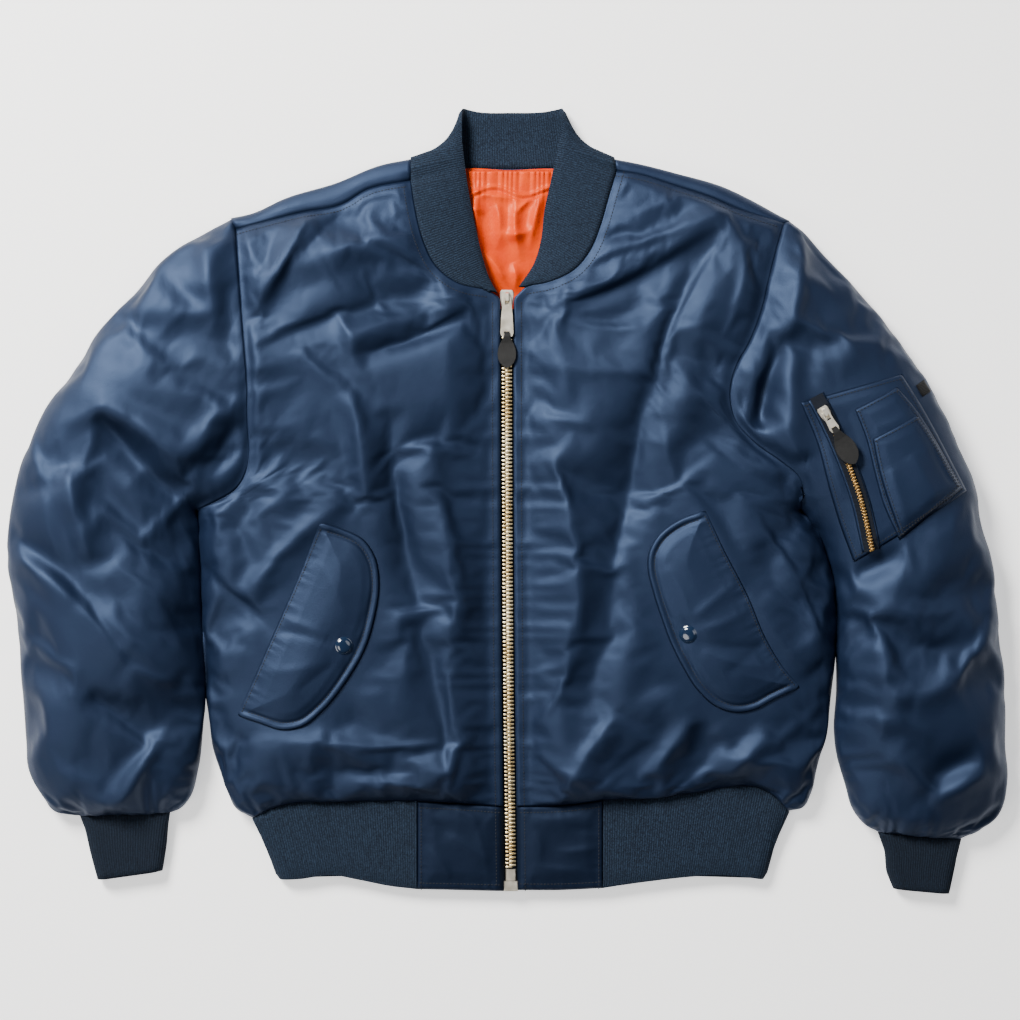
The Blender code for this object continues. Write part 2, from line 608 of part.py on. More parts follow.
def walled(name, outer, inner, faces, look):
    """Closed body between two matching surfaces, with a rim along their borders."""
    used, faces = np.unique(faces, return_inverse=True)
    faces = faces.reshape(-1, 4)
    points = np.concatenate([outer[used], inner[used]])
    edges = np.concatenate([faces[:, [i, (i + 1) % 4]] for i in range(4)])
    alike = np.sort(edges, axis=1)
    first, count = np.unique(alike, axis=0, return_index=True, return_counts=True)[1:]
    rim = edges[first[count == 1]]
    rim = np.concatenate([rim[:, ::-1], rim + len(used)], axis=1)
    faces = np.concatenate([faces, faces[:, ::-1] + len(used), rim])
    return closed_body(name, points, faces.tolist(), look)


def in_lengths(names, cuts, grid, upwards, thickness, look, strips=None):
    """One walled sheet, parted into bodies that meet with a seam gap. The first has the strips."""
    rows, columns = grid.shape[:2]
    points, faces = grid.reshape(-1, 3), grid_faces(rows, columns)
    beyond = np.zeros((0, 4), int)
    if strips:
        points, beyond = np.concatenate([points, strips[0]]), strips[1]
    mesh = bpy.data.meshes.new("whole")
    mesh.from_pydata(points.tolist(), [], np.concatenate([faces, beyond]).tolist())
    mesh.update()
    normals = np.array([vertex.normal for vertex in mesh.vertices])
    if (normals[:, 2].sum() > 0) != upwards:
        normals = -normals
    limits = (0, *cuts, rows - 1)
    for name, first, last in zip(names, limits[:-1], limits[1:]):
        skins = []
        for skin in (points.copy(), points - normals * thickness):
            block = skin[: rows * columns].reshape(rows, columns, 3)
            span = slice(first, last + 1)
            block[span] = parted(block[span], first > 0, last < rows - 1)
            skins.append(skin)
        chosen = faces.reshape(rows - 1, columns - 1, 4)[first:last].reshape(-1, 4)
        chosen = np.concatenate([chosen, beyond if first == 0 else beyond[:0]])
        walled(name, *skins, chosen, look)


# ---------------------------------------------------------------- looks
NYLON_LOOK = (NAVY, 0.0, 0.4)
KNIT_LOOK = (NAVY_KNIT, 0.0, 0.9)
LINING_LOOK = (ORANGE, 0.0, 0.5)
TAPE_LOOK = ((0.008, 0.016, 0.045, 1), 0.0, 0.8)
BRASS_LOOK = (BRASS, 1.0, 0.35)
NICKEL_LOOK = (NICKEL, 1.0, 0.25)
LEATHER_LOOK = (BLACK, 0.0, 0.5)
SNAP_LOOK = ((0.04, 0.09, 0.20, 1), 0.0, 0.15)


# ---------------------------------------------------------------- body
def front_edges(armhole, side, neck, hem, tab_top, seam, sign):
    """The four borders of a front: its side, the zip edge, the shoulder seam and the hem."""
    outer = np.concatenate([spline(armhole, ARM_STEPS), spline(side, SIDE_STEPS)[1:]])
    bottom = np.concatenate([spline(hem, HEM_STEPS), spline(tab_top, TAB_STEPS)[1:]])
    neck_line = spline(neck, NECK_STEPS)
    low, high = bottom[-1, 1], ZIP_LINE[0][1]
    y = high + (low - high) * np.array(ZIP_STEPS)
    zip_edge = np.stack([zip_middle(y) + sign * ZIP_HALF, y], axis=1)
    bottom[-1] = zip_edge[-1]
    inner = np.concatenate([neck_line, zip_edge])
    top = halved(spline(seam, SHOULDER_STEPS))
    return outer, inner, top, bottom


def front(name, armhole, side, neck, hem, tab_top, seam, sign):
    outer, inner, top, bottom = front_edges(armhole, side, neck, hem, tab_top, seam, sign)
    folded = slice(len(ARM_STEPS) - 1, None)
    plan = lip_column(inset(coons(outer, inner, top, bottom)), 0, folded)
    grid = with_height(plan, top_height(plan))
    fold_edge(grid, folded, 0, LIP)
    return sheet(name, grid, True, WALL, NYLON_LOOK)


def under_armhole(armhole, tip):
    """Armhole as the underside has it, which starts from the shoulder tip."""
    line = spline(armhole, UNDER_ARM_STEPS)
    tip = np.array(tip)
    return np.concatenate([[tip, tip * 0.7 + line[0] * 0.3], line])


# Rows of the back panel where its three lengths meet.
BACK_PANEL_CUTS = (7, 13)


def back_panel():
    """Underside of the body. Over each shoulder it turns up and forward to the shoulder seam."""
    columns = []
    for side, armhole, tip in (
        (SIDE_RIGHT, ARMHOLE_RIGHT, TIP_RIGHT),
        (SIDE_LEFT, ARMHOLE_LEFT, TIP_LEFT),
    ):
        up = under_armhole(armhole, tip)
        down = spline(side, BACK_SIDE_STEPS)
        columns.append(np.concatenate([up, down[1:]]))
    shoulder_right = spline(SHOULDER_RIGHT, SHOULDER_STEPS)
    shoulder_left = spline(SHOULDER_LEFT, SHOULDER_STEPS)
    neck = spline(NECK_BACK, NECK_BACK_STEPS)
    top = np.concatenate([shoulder_right, neck[1:-1], shoulder_left[::-1]])
    half = np.array(BACK_HEM_STEPS)
    bottom = spline(HEM_BACK, np.concatenate([half, 1 - half[-2::-1]]))
    flat = inset(coons(columns[0], columns[1], top, bottom))
    folded = slice(len(columns[0]) - len(BACK_SIDE_STEPS), None)
    plan = lip_column(lip_column(flat, 0, folded), -1, folded)
    grid = with_height(plan, under_height(plan))
    fold_edge(grid, folded, 0, -LIP)
    fold_edge(grid, folded, -1, -LIP)
    ease_corner(grid, folded.start, 0, -2.5)
    ease_corner(grid, folded.start, -1, -2.5)
    points = []
    faces = []
    last = grid.shape[1]
    count = grid.shape[0] * last
    for seam, ridge, sign in (
        (SHOULDER_SEAM_RIGHT, np.arange(0, len(SHOULDER_STEPS) + 1), 1),
        (SHOULDER_SEAM_LEFT, np.arange(last - 1, last - 2 - len(SHOULDER_STEPS), -1), -1),
    ):
        fold = grid[0, ridge, :2]
        line = spline(seam, SHOULDER_STEPS)
        beside = line[0] + (line[1] - line[0]) / np.linalg.norm(line[1] - line[0])
        line = np.insert(line, 1, beside, axis=0)
        strip = inset(np.stack([fold, fold * 0.55 + line * 0.45, line]), SEAM_GAP * 0.8)[1:]
        raised = with_height(strip, top_height(strip))
        points.append(raised.reshape(-1, 3))
        width = len(line)
        index = np.concatenate([[ridge], count + np.arange(2 * width).reshape(2, width)])
        for i in range(2):
            a, b = index[i], index[i + 1]
            quads = np.stack([a[:-1], a[1:], b[1:], b[:-1]], axis=1)
            if sign < 0:
                quads = quads[:, ::-1]
            faces.append(quads)
        count += 2 * width
    along = np.arange(len(SHOULDER_STEPS) + 1)
    grid[0, along, 2] = EDGE
    grid[0, last - 1 - along, 2] = EDGE
    strips = (np.concatenate(points), np.concatenate(faces))
    names = ("back_upper", "back_chest", "back_waist")
    in_lengths(names, BACK_PANEL_CUTS, grid, False, WALL, NYLON_LOOK, strips)


def lining_back():
    """Lining of the back, lying just above it and ending short of the curved sides."""
    left = spline(
        (
            (-78.0, 299.9), (-196.5, 261.3), (-232.2, 240.6), (-226.5, 159.8), (-224.7, 47.0),
            (-256.6, -14.1), (-269.8, -56.4), (-266.0, -178.6), (-254.7, -244.4),
            (-222.8, -279.2),
        ),
        np.linspace(0, 1, 15),
    )
    right = spline(
        (
            (83.7, 299.9), (179.5, 269.8), (224.7, 246.3), (219.0, 169.2), (190.8, 94.0),
            (247.2, 0.0), (279.2, -56.4), (284.8, -178.6), (273.5, -244.4), (243.5, -279.2),
        ),
        np.linspace(0, 1, 15),
    )
    top = spline(
        ((-78.0, 299.9), (-55.5, 310.2), (0.9, 311.1), (57.3, 310.2), (83.7, 299.9)),
        np.linspace(0, 1, 11),
    )
    bottom = spline(((-222.8, -279.2), (0.9, -282.0), (243.5, -279.2)), np.linspace(0, 1, 11))
    plan = coons(left, right, top, bottom)
    grid = with_height(plan, np.full(plan.shape[:2], WALL + SEAM_GAP + LINING))
    return sheet("lining_back", grid, True, LINING, LINING_LOOK)


# ---------------------------------------------------------------- sleeves
# Rows of the sleeve's grids where its lengths meet.
FRONT_CUTS = (7, 13)
BACK_CUTS = (7,)


def part_corner(grid, outside):
    """Draws the shoulder tip of a sleeve back along its outside fold, clear of the body's."""
    away = outside[1] - outside[0]
    away /= np.linalg.norm(away)
    for column, step in ((0, 1.8), (1, 1.8), (2, 1.4), (3, 0.7)):
        grid[0, column, :2] += step * away


def matched(line, steps, count):
    """Points along a line at as many steps as the other side of the panel has."""
    places = np.linspace(0, len(steps) - 1, count)
    return spline(line, np.interp(places, range(len(steps)), steps))


def sleeve_front(side, armhole, turn, tip, outer, inner):
    """Upper half of a sleeve. Its first rows end on the armhole and the rest on the inside fold."""
    line = spline(armhole, ARM_STEPS)
    tip = np.array(tip)
    top = np.concatenate([[tip, tip * 0.45 + line[0] * 0.55], line[: turn + 1]])
    right = np.concatenate([line[turn:], spline(inner, INSIDE_STEPS)[1:]])
    left = matched(outer, OUTSIDE_STEPS, len(right))
    even = np.linspace(0, 1, len(top))
    bottom = spline((outer[-1], inner[-1]), 0.7 * even + 0.3 * ease(even))
    folded = slice(len(line) - 1 - turn, None)
    plan = inset(coons(left, right, top, bottom), SEAM_GAP)
    plan = lip_column(lip_column(plan, 0, slice(None)), -1, folded)
    grid = with_height(plan, top_height(plan))
    fold_edge(grid, slice(None), 0, LIP)
    fold_edge(grid, folded, -1, LIP)
    part_corner(grid, left)
    names = [f"sleeve_{side}_front_{length}" for length in ("upper", "elbow", "lower")]
    in_lengths(names, FRONT_CUTS, grid, True, WALL, NYLON_LOOK)
    return as_helper(sheet("whole_sleeve", grid, True, WALL, NYLON_LOOK))


def sleeve_back(side, armhole, turn, tip, outer, inner):
    """Lower half of a sleeve, flat on the floor inside its folded edges."""
    line = under_armhole(armhole, tip)
    turn += 2
    right = np.concatenate([line[turn:], spline(inner, UNDER_INSIDE_STEPS)[1:]])
    left = matched(outer, UNDER_OUTSIDE_STEPS, len(right))
    bottom = spline((outer[-1], inner[-1]), np.linspace(0, 1, turn + 1))
    folded = slice(len(line) - 1 - turn, None)
    plan = lip_column(inset(coons(left, right, line[: turn + 1], bottom)), 0, slice(None))
    plan = lip_column(plan, -1, folded)
    grid = with_height(plan, under_height(plan))
    fold_edge(grid, slice(None), 0, -LIP)
    fold_edge(grid, folded, -1, -LIP)
    ease_corner(grid, folded.start, -1, -2.5)
    ease_corner(grid, 0, 0, -2.5)
    part_corner(grid, left)
    names = [f"sleeve_{side}_back_{length}" for length in ("upper", "lower")]
    in_lengths(names, BACK_CUTS, grid, False, WALL, NYLON_LOOK)


# Cuffs, one row for each section: left end, right end, top and height of the folded edge.
CUFF_SECTIONS_RIGHT = (
    (-403.3, -297.0, -318.7, -293.3, CUFF_TOP, EDGE),
    (-398.6, -309.3, -320.5, -304.6, CUFF_TOP, 11.5),
    (-393.9, -331.8, -322.4, -324.3, 16.0, 9.0),
    (-387.3, -357.2, -326.2, -348.7, 15.5, RIB_EDGE),
)
CUFF_SECTIONS_LEFT = (
    (346.9, -312.1, 424.9, -318.7, CUFF_TOP, EDGE),
    (353.4, -329.9, 421.1, -335.6, CUFF_TOP, 11.5),
    (355.3, -349.7, 418.3, -351.6, 16.0, 9.0),
    (361.9, -365.7, 414.5, -370.4, 15.5, RIB_EDGE),
)


def flat_ring(start, end, top, edge):
    """Flattened tube seen end on: level on the floor, upright at both folds, crowned on top."""
    across = np.array(end) - np.array(start)
    width = np.linalg.norm(across)
    over = np.array((0, 1.2, 4.0, 9.0, 0.3 * width, 0.5 * width))
    rise = edge + (top - edge) * roll(over / BAND_ROLL)
    under = np.array((0, 0.8, 0.3 * edge, edge, 0.3 * width, 0.5 * width))
    drop = edge * (1 - roll(under / edge))
    places = np.concatenate([over, width - over[-2::-1], width - under[1:], under[-2:0:-1]])
    heights = np.concatenate([rise, rise[-2::-1], drop[1:], drop[-2:0:-1]])
    plan = np.array(start) + places[:, None] / width * across
    return with_height(plan, heights)


def cuff(name, sections):
    rings = np.array([flat_ring(row[0:2], row[2:4], row[4], row[5]) for row in sections])
    rings = np.insert(rings, 1, rings[0] * 0.88 + rings[1] * 0.12, axis=0)
    toward = rings[1] - rings[0]
    rings[0] += toward / np.linalg.norm(toward, axis=1)[:, None] * 3 * SEAM_GAP
    rings = np.concatenate([rings, rings[:, :1]], axis=1)
    made = sheet(name, rings, True, KNIT, KNIT_LOOK, TUBE_MIDDLE)
    weld = bmesh.new()
    weld.from_mesh(made.data)
    bmesh.ops.remove_doubles(weld, verts=weld.verts, dist=0.00005)
    weld.to_mesh(made.data)
    weld.free()
    return made


# ---------------------------------------------------------------- knitted collar and hem
# Free edge of the collar round the back of the neck, one row for each section: x, y, height.
COLLAR_TURN = (
    (-44.2, 356.3, 16.5), (-43.7, 368.9, 8.5), (-41.8, 369.4, 3.0), (-32.9, 367.1, 0.0),
    (2.8, 365.7, 0.0), (37.6, 367.1, 0.0), (48.4, 369.4, 3.0), (50.3, 368.9, 8.5),
    (49.8, 359.1, 16.5),
)


def collar():
    """Knitted band: over the right front, behind the neck and over the left front, as one loft."""
    rows = []
    for neck, edge in ((NECK_RIGHT, COLLAR_EDGE_RIGHT), (NECK_LEFT, COLLAR_EDGE_LEFT)):
        seam = spline(neck, NECK_STEPS)
        free = spline(edge, NECK_STEPS)
        free_height = 17.0 + 6.0 * np.array(NECK_STEPS) ** 3
        rows.append((with_height(seam, top_height(seam)), with_height(free, free_height)))
    behind = spline(NECK_BACK, NECK_BACK_STEPS)
    behind = with_height(behind, under_height(behind))
    behind[[0, -1], 2] = EDGE
    halfway = []
    for fold, line in ((SHOULDER_RIGHT, SHOULDER_SEAM_RIGHT), (SHOULDER_LEFT, SHOULDER_SEAM_LEFT)):
        spot = np.array([fold[-1]]) * 0.55 + np.array([line[-1]]) * 0.45
        halfway.append(with_height(spot, top_height(spot)))
    seam = np.concatenate([rows[0][0][::-1], halfway[0], behind, halfway[1], rows[1][0]])
    free = np.concatenate([rows[0][1][::-1], np.array(COLLAR_TURN), rows[1][1]])
    across = np.array(ACROSS)[None, :, None]
    away = free - seam
    away /= np.linalg.norm(away, axis=1)[:, None]
    turning = (seam[:, 2] < 18)[:, None]
    start = seam + away * np.where(turning, 3 * SEAM_GAP, SEAM_GAP)
    grid = (1 - across) * start[:, None] + across * free[:, None]
    puff = 2.0 * np.sin(math.pi * np.array(ACROSS))
    grid[..., 2] += puff * np.clip((grid[..., 2] - 13) / 3, 0, 1)
    return sheet("collar", grid, True, KNIT, KNIT_LOOK, TUBE_MIDDLE)


def band_rows(line, bottom, steps, over):
    """Top and bottom points of one stretch of the hem band."""
    high = spline(line, steps)
    low = spline(bottom, steps)
    high_gap = np.linalg.norm(high - high[0 if over else 0], axis=1)
    low_gap = np.linalg.norm(low - low[0], axis=1)
    if over:
        top = EDGE + (BAND_TOP - EDGE) * roll(high_gap / BAND_ROLL)
        base = RIB_EDGE + (BAND_TOP - RIB_EDGE) * roll(low_gap / BAND_ROLL)
    else:
        high_gap = np.minimum(high_gap, high_gap[::-1])
        low_gap = np.minimum(low_gap, low_gap[::-1])
        top = EDGE * (1 - roll(high_gap / EDGE))
        base = RIB_EDGE * (1 - roll(low_gap / RIB_EDGE))
    return with_height(high, top), with_height(low, base)


def hem_rib():
    """Knitted hem band, from one zip tab round the back to the other."""
    half = np.array(BACK_HEM_STEPS)
    right = band_rows(HEM_RIGHT, BAND_RIGHT, HEM_STEPS, True)
    behind = band_rows(HEM_BACK, BAND_BACK, np.concatenate([half, 1 - half[-2::-1]]), False)
    left = band_rows(HEM_LEFT, BAND_LEFT, HEM_STEPS, True)
    high, low = (np.concatenate([right[i][::-1], behind[i][1:-1], left[i]]) for i in (0, 1))
    away = low - high
    away /= np.linalg.norm(away, axis=1)[:, None]
    start = high + away * SEAM_GAP
    across = np.array(ACROSS)[None, :, None]
    grid = (1 - across) * start[:, None] + across * low[:, None]
    return sheet("hem_rib", grid, True, KNIT, KNIT_LOOK, TUBE_MIDDLE)


def hem_tab(name, top_line, bottom_line, sign):
    """Nylon tab of the hem between the knit and the zip."""
    top = spline(top_line, TAB_STEPS)
    bottom = spline(bottom_line, TAB_STEPS)
    top[-1, 0] = zip_middle(top[-1, 1]) + sign * ZIP_HALF
    bottom[-1, 0] = zip_middle(bottom[-1, 1]) + sign * ZIP_HALF
    steps = np.linspace(0, 1, 6)[:, None]
    left = (1 - steps) * top[0] + steps * bottom[0]
    right = (1 - steps) * top[-1] + steps * bottom[-1]
    plan = inset(coons(left, right, top, bottom), SEAM_GAP)
    grid = with_height(plan, np.full(plan.shape[:2], BAND_TOP))
    return sheet(name, grid, True, WALL, NYLON_LOOK)


# ---------------------------------------------------------------- zip
def zip_rows():
    low, high = TAB_TOP_RIGHT[-1][1], ZIP_LINE[0][1]
    y = high + (low - high) * np.array(ZIP_STEPS)
    y = np.concatenate([y, np.linspace(low, BOX_TOP_Y + 0.4, 6)[1:]])
    return np.stack([zip_middle(y), y], axis=1)


def zip_tape(name, sign):
    middles = zip_rows()
    offsets = np.array((5.2, 9.0, 13.0, 17.0)) * sign
    grid = strip_along(middles, zip_height(middles[:, 1]), offsets, WALL + 0.6)
    return sheet(name, grid, True, 1.0, TAPE_LOOK)


def rounded_section(half_width, low, high, corner):
    """Cross-section of a bar with its corners cut: sideways and up."""
    w, c = half_width, corner
    return np.array(
        (
            (-w, low + c), (-w, high - c), (-w + c, high), (w - c, high), (w, high - c),
            (w, low + c), (w - c, low), (-w + c, low),
        )
    )


def bar_along(name, middles, heights, section, look):
    """Bar of one cross-section that follows a line down the garment."""
    rings = []
    for middle, height in zip(middles, heights):
        ring = [(middle[0] + side, middle[1], height + up) for side, up in section]
        rings.append(ring)
    return loft(name, np.array(rings), look)


SLIDER_TOP_Y = 196.5
SLIDER_LENGTH = 17.0
PIVOT_Y = SLIDER_TOP_Y - 7.0
PIVOT_RISE = 1.35      # height of the pull's crossbar above the slider's face
PIN_TOP_Y = -346.9
BOX_TOP_Y = -358.0
BOX_END_Y = -367.5


def zip_chain():
    """Closed teeth as one bar, from under the slider down to the bottom box."""
    y = np.concatenate([[SLIDER_TOP_Y - SLIDER_LENGTH - 0.4], zip_rows()[2:-2, 1], [-346.5]])
    middles = np.stack([zip_middle(y), y], axis=1)
    section = rounded_section(CHAIN_HALF, -4.4, -1.0, 0.8)
    return bar_along("zip_chain", middles, zip_height(y), section, BRASS_LOOK)


def zip_ends():
    """Insertion pin and retaining box that close the bottom of the zip."""
    for name, high, low, half, section_low, section_high in (
        ("zip_pin", PIN_TOP_Y, BOX_TOP_Y + 0.4, 4.8, -4.8, -0.7),
        ("zip_box", BOX_TOP_Y, BOX_END_Y, 6.6, -5.4, -0.2),
    ):
        y = np.array((high, low))
        middles = np.stack([zip_middle(y), y], axis=1)
        section = rounded_section(half, section_low, section_high, 0.8)
        bar_along(name, middles, zip_height(y), section, NICKEL_LOOK)


# A frame is an origin and three directions: sideways, down the zip and away from the cloth.
def placed(frame, points):
    origin, side, down, out = (np.array(part, float) for part in frame)
    points = np.asarray(points, float)
    return origin + points[..., :1] * side + points[..., 1:2] * down + points[..., 2:3] * out


def slider(name, frame, rows, core, arch):
    """Slider from rows of distance down, half width, under and top, with a core and an arch."""
    rings = [
        [
            (-half, down, low), (-half, down, high - 0.8), (-half + 0.9, down, high),
            (half - 0.9, down, high), (half, down, high - 0.8), (half, down, low),
        ]
        for down, half, low, high in rows
    ]
    body = loft(name, placed(frame, rings), NICKEL_LOOK)
    if core:
        start, end, half, low, high = core
        block = [
            [(-half, down, low), (-half, down, high), (half, down, high), (half, down, low)]
            for down in (start, end)
        ]
        union(body, loft(name + "_core", placed(frame, block), NICKEL_LOOK))
    width, reach, rise = arch
    outer = (
        (-reach, -0.5), (-reach, rise * 0.55), (-reach + 1.6, rise + 1.1),
        (reach - 1.6, rise + 1.1), (reach, rise * 0.55), (reach, -0.5),
    )
    inner = (
        (reach - 1.4, -0.5), (reach - 1.4, rise * 0.6), (reach - 2.2, rise),
        (-reach + 2.2, rise), (-reach + 1.4, rise * 0.6), (-reach + 1.4, -0.5),
    )
    bridge = [[(side, a, b) for a, b in outer + inner] for side in (-width / 2, width / 2)]
    union(body, loft(name + "_arch", placed(frame, bridge), NICKEL_LOOK))
    return body


def plate(name, outlines, half_thick, frame, look):
    """Flat metal piece: the first outline is its edge and the others are holes."""
    curve = bpy.data.curves.new(name, "CURVE")
    curve.dimensions = "2D"
    curve.fill_mode = "BOTH"
    curve.extrude = half_thick * MM
    for outline in outlines:
        line = curve.splines.new("POLY")
        line.points.add(len(outline) - 1)
        for point, (a, b) in zip(line.points, outline):
            point.co = (a * MM, b * MM, 0, 1)
        line.use_cyclic_u = True
    drawn = bpy.data.objects.new(name + "_outline", curve)
    helpers.objects.link(drawn)
    drawn.hide_render = True
    mesh = bpy.data.meshes.new_from_object(drawn)
    mesh.name = name
    origin, side, down, out = (np.array(part, float) for part in frame)
    for vertex in mesh.vertices:
        a, b, c = vertex.co
        vertex.co = a * side + b * down + c * out
    weld = bmesh.new()
    weld.from_mesh(mesh)
    bmesh.ops.remove_doubles(weld, verts=weld.verts, dist=0.00001)
    bmesh.ops.recalc_face_normals(weld, faces=weld.faces)
    weld.to_mesh(mesh)
    weld.free()
    made = add_object(name, mesh, look)
    made.location = Vector(origin * MM)
    return made


def pull(name, frame, tab_length, tab_half, leather_length, leather_half):
    """Metal tab on the slider's arch with a leather tongue on its end. Its origin is its hinge."""
    end = tab_length
    edge = (
        (-2.9, -1.0), (2.9, -1.0), (3.7, 1.5), (tab_half - 0.8, 0.45 * end), (tab_half, end - 4),
        (tab_half - 0.8, end - 1), (tab_half - 2.2, end), (2.2 - tab_half, end),
        (0.8 - tab_half, end - 1), (-tab_half, end - 4), (0.8 - tab_half, 0.45 * end),
        (-3.7, 1.5),
    )
    window = ((-2.1, 1.0), (2.1, 1.0), (2.1, 7.2), (-2.1, 7.2))
    hole = ((-2.6, end - 5.0), (2.6, end - 5.0), (2.6, end - 2.4), (-2.6, end - 2.4))
    plate(name + "_tab", (edge, window, hole), 0.8, frame, NICKEL_LOOK)
    start = end - 4.2
    rows = (
        (0.0, 0.25, 1.9, 0.8), (0.12, 0.34, 1.9, 0.8), (0.21, 0.5, 1.0, 0.95),
        (0.31, 0.7, 0.2, 1.0), (0.45, 0.92, 0.0, 1.0), (0.6, 1.0, 0.0, 1.0),
        (0.75, 0.94, 0.0, 1.0), (0.87, 0.74, 0.0, 1.0), (0.95, 0.46, 0.0, 1.0),
        (1, 0.16, 0.0, 1.0),
    )
    rings = []
    for share, wide, level, thick in rows:
        half = wide * leather_half
        section = rounded_section(half, level - thick, level + thick, 0.35)
        rings.append([(a, start + share * leather_length, c) for a, c in section])
    local = (np.zeros(3), *frame[1:])
    leather = loft(name + "_leather", placed(local, rings), LEATHER_LOOK)
    leather.location = Vector(np.array(frame[0]) * MM)


def main_slider_and_pull():
    x = float(zip_middle(PIVOT_Y))
    face = float(zip_height(PIVOT_Y)) + 0.6
    axes = ((1, 0, 0), (0, -1, 0), (0, 0, 1))
    rows = (
        (-7.0, 5.2, -3.6, -0.1), (-5.0, 6.6, -3.6, 0.0), (2.0, 6.2, -3.6, 0.0),
        (8.0, 5.0, -3.6, 0.0), (10.0, 4.4, -3.6, -0.2),
    )
    core = (-6.5, 9.5, 4.2, -5.6, -3.0)
    slider("zip_slider", ((x, PIVOT_Y, face), *axes), rows, core, (3.0, 5.0, 2.9))
    frame = ((x, PIVOT_Y, face + PIVOT_RISE), *axes)
    pull("main_pull", frame, 37.0, 6.1, 33.0, 8.85)


# ---------------------------------------------------------------- pocket flaps
FLAP_BASE_RIGHT = (
    (-175.8, -22.6), (-196.5, -73.3), (-218.1, -122.2), (-237.8, -167.3), (-252.9, -200.2),
)
FLAP_EDGE_RIGHT = (
    (-173.0, -21.6), (-154.2, -27.3), (-134.4, -37.6), (-124.1, -53.6), (-120.3, -77.1),
    (-124.1, -107.2), (-132.5, -136.3), (-150.4, -168.3), (-173.9, -197.4), (-190.8, -210.6),
    (-209.6, -214.3), (-233.1, -207.7), (-251.0, -202.1),
)
FLAP_BASE_LEFT = (
    (182.4, -10.3), (200.2, -47.9), (220.9, -87.4), (239.7, -130.7), (256.6, -157.9),
    (270.7, -173.9),
)
FLAP_EDGE_LEFT = (
    (179.5, -10.3), (156.0, -19.7), (138.2, -33.8), (129.7, -49.8), (128.8, -63.9),
    (133.5, -84.6), (141.9, -110.9), (150.4, -133.5), (160.7, -154.2), (175.8, -177.7),
    (192.7, -192.7), (210.6, -198.3), (229.4, -195.5), (245.3, -187.1), (269.8, -175.8),
)
SNAP_RIGHT = (-153.2, -135.4)
SNAP_LEFT = (166.4, -125.0)
SNAP_RADIUS = 8.4
SNAP_HEIGHT = 2.6
SNAP_SEAT = 0.6        # from the flap to the underside of the cap


def flap(name, base, edge, below):
    steps = np.linspace(0.03, 0.97, 12)
    start = spline(base, steps)
    end = spline(edge, steps)
    across = np.array((0, 0.12, 0.28, 0.44, 0.6, 0.76, 0.9, 1))[None, :, None]
    plan = (1 - across) * start[:, None] + across * end[:, None]
    grid = lay_on(plan, [below], SEAM_GAP)
    return sheet(name, grid, False, WALL, NYLON_LOOK)


def surface_frame(below, spot, down):
    """Frame on top of a solid at a spot of the plan, turned to the given direction."""
    graph = bpy.context.evaluated_depsgraph_get()
    tree = BVHTree.FromObject(below, graph)
    ring = [(0, 0), (4, 0), (-4, 0), (0, 4), (0, -4)]
    starts = [Vector(((spot[0] + a) * MM, (spot[1] + b) * MM, 0.3)) for a, b in ring]
    hits = [tree.ray_cast(start, Vector((0, 0, -1))) for start in starts]
    out = sum((hit[1] for hit in hits), Vector()).normalized()
    out = Vector((out.x, out.y, abs(out.z)))
    down = Vector((*down, 0.0))
    down = (down - down.dot(out) * out).normalized()
    return hits[0][0] / MM, down.cross(out) * -1, down, out


def snap(name, spot, below):
    """Domed cap of a press stud."""
    origin, side, down, out = surface_frame(below, spot, (0, -1))
    profile = (
        (1.0, 0.0), (1.0, 0.35), (0.93, 0.6), (0.8, 0.8), (0.55, 0.93), (0.25, 0.99),
    )
    turns = np.linspace(0, 2 * math.pi, 21)[:-1]
    rings = []
    for wide, up in profile:
        radius, rise = SNAP_RADIUS * wide, SNAP_SEAT + up * SNAP_HEIGHT
        rings.append([(radius * math.cos(t), radius * math.sin(t), rise) for t in turns])
    return loft(name, placed((origin, side, down, out), rings), SNAP_LOOK)


# ---------------------------------------------------------------- sleeve pocket
# Each piece: its left edge and its right edge from the top down, and its name.
POCKET_LEFT = ((269.8, 90.2), (283.9, 56.4), (297.0, 9.4), (309.3, -28.2), (320.5, -58.3))
POCKET_RIGHT = ((364.7, 116.6), (383.5, 86.5), (401.4, 54.5), (414.5, 30.1), (425.8, 8.5))
PEN_LEFT = ((319.6, 83.7), (329.9, 56.4), (337.5, 25.4), (345.9, -4.7), (361.0, -37.6))
PEN_RIGHT = ((359.1, 104.3), (377.9, 82.7), (395.7, 55.5), (409.8, 31.0), (421.1, 11.3))
PEN_FRONT_LEFT = ((335.6, 56.4), (340.3, 32.0), (346.9, 7.5), (354.4, -14.1), (362.8, -35.7))
PEN_FRONT_RIGHT = ((377.9, 78.0), (387.3, 64.9), (398.6, 47.0), (408.9, 28.2), (419.2, 12.2))
POCKET_ZIP = ((283.9, 95.9), (298.0, 67.7), (314.0, 30.1), (323.4, 3.8), (335.6, -47.0))
LABEL_SPOT = (381.6, 102.5)
LABEL_SIZE = 14.0
LAID_GAP = 0.5        # above the cloth that a pocket piece lies on
POCKET_SLIDER = (291.4, 79.9)
POCKET_PULL_DOWN = (10.0, -17.0)


def pocket_piece(name, left, right, rows, columns, below, thickness, look):
    steps = np.linspace(0, 1, rows)
    across = np.linspace(0, 1, columns)[None, :, None]
    start = spline(left, steps)[:, None]
    end = spline(right, steps)[:, None]
    grid = lay_on((1 - across) * start + across * end, below, LAID_GAP)
    return sheet(name, grid, False, thickness, look)


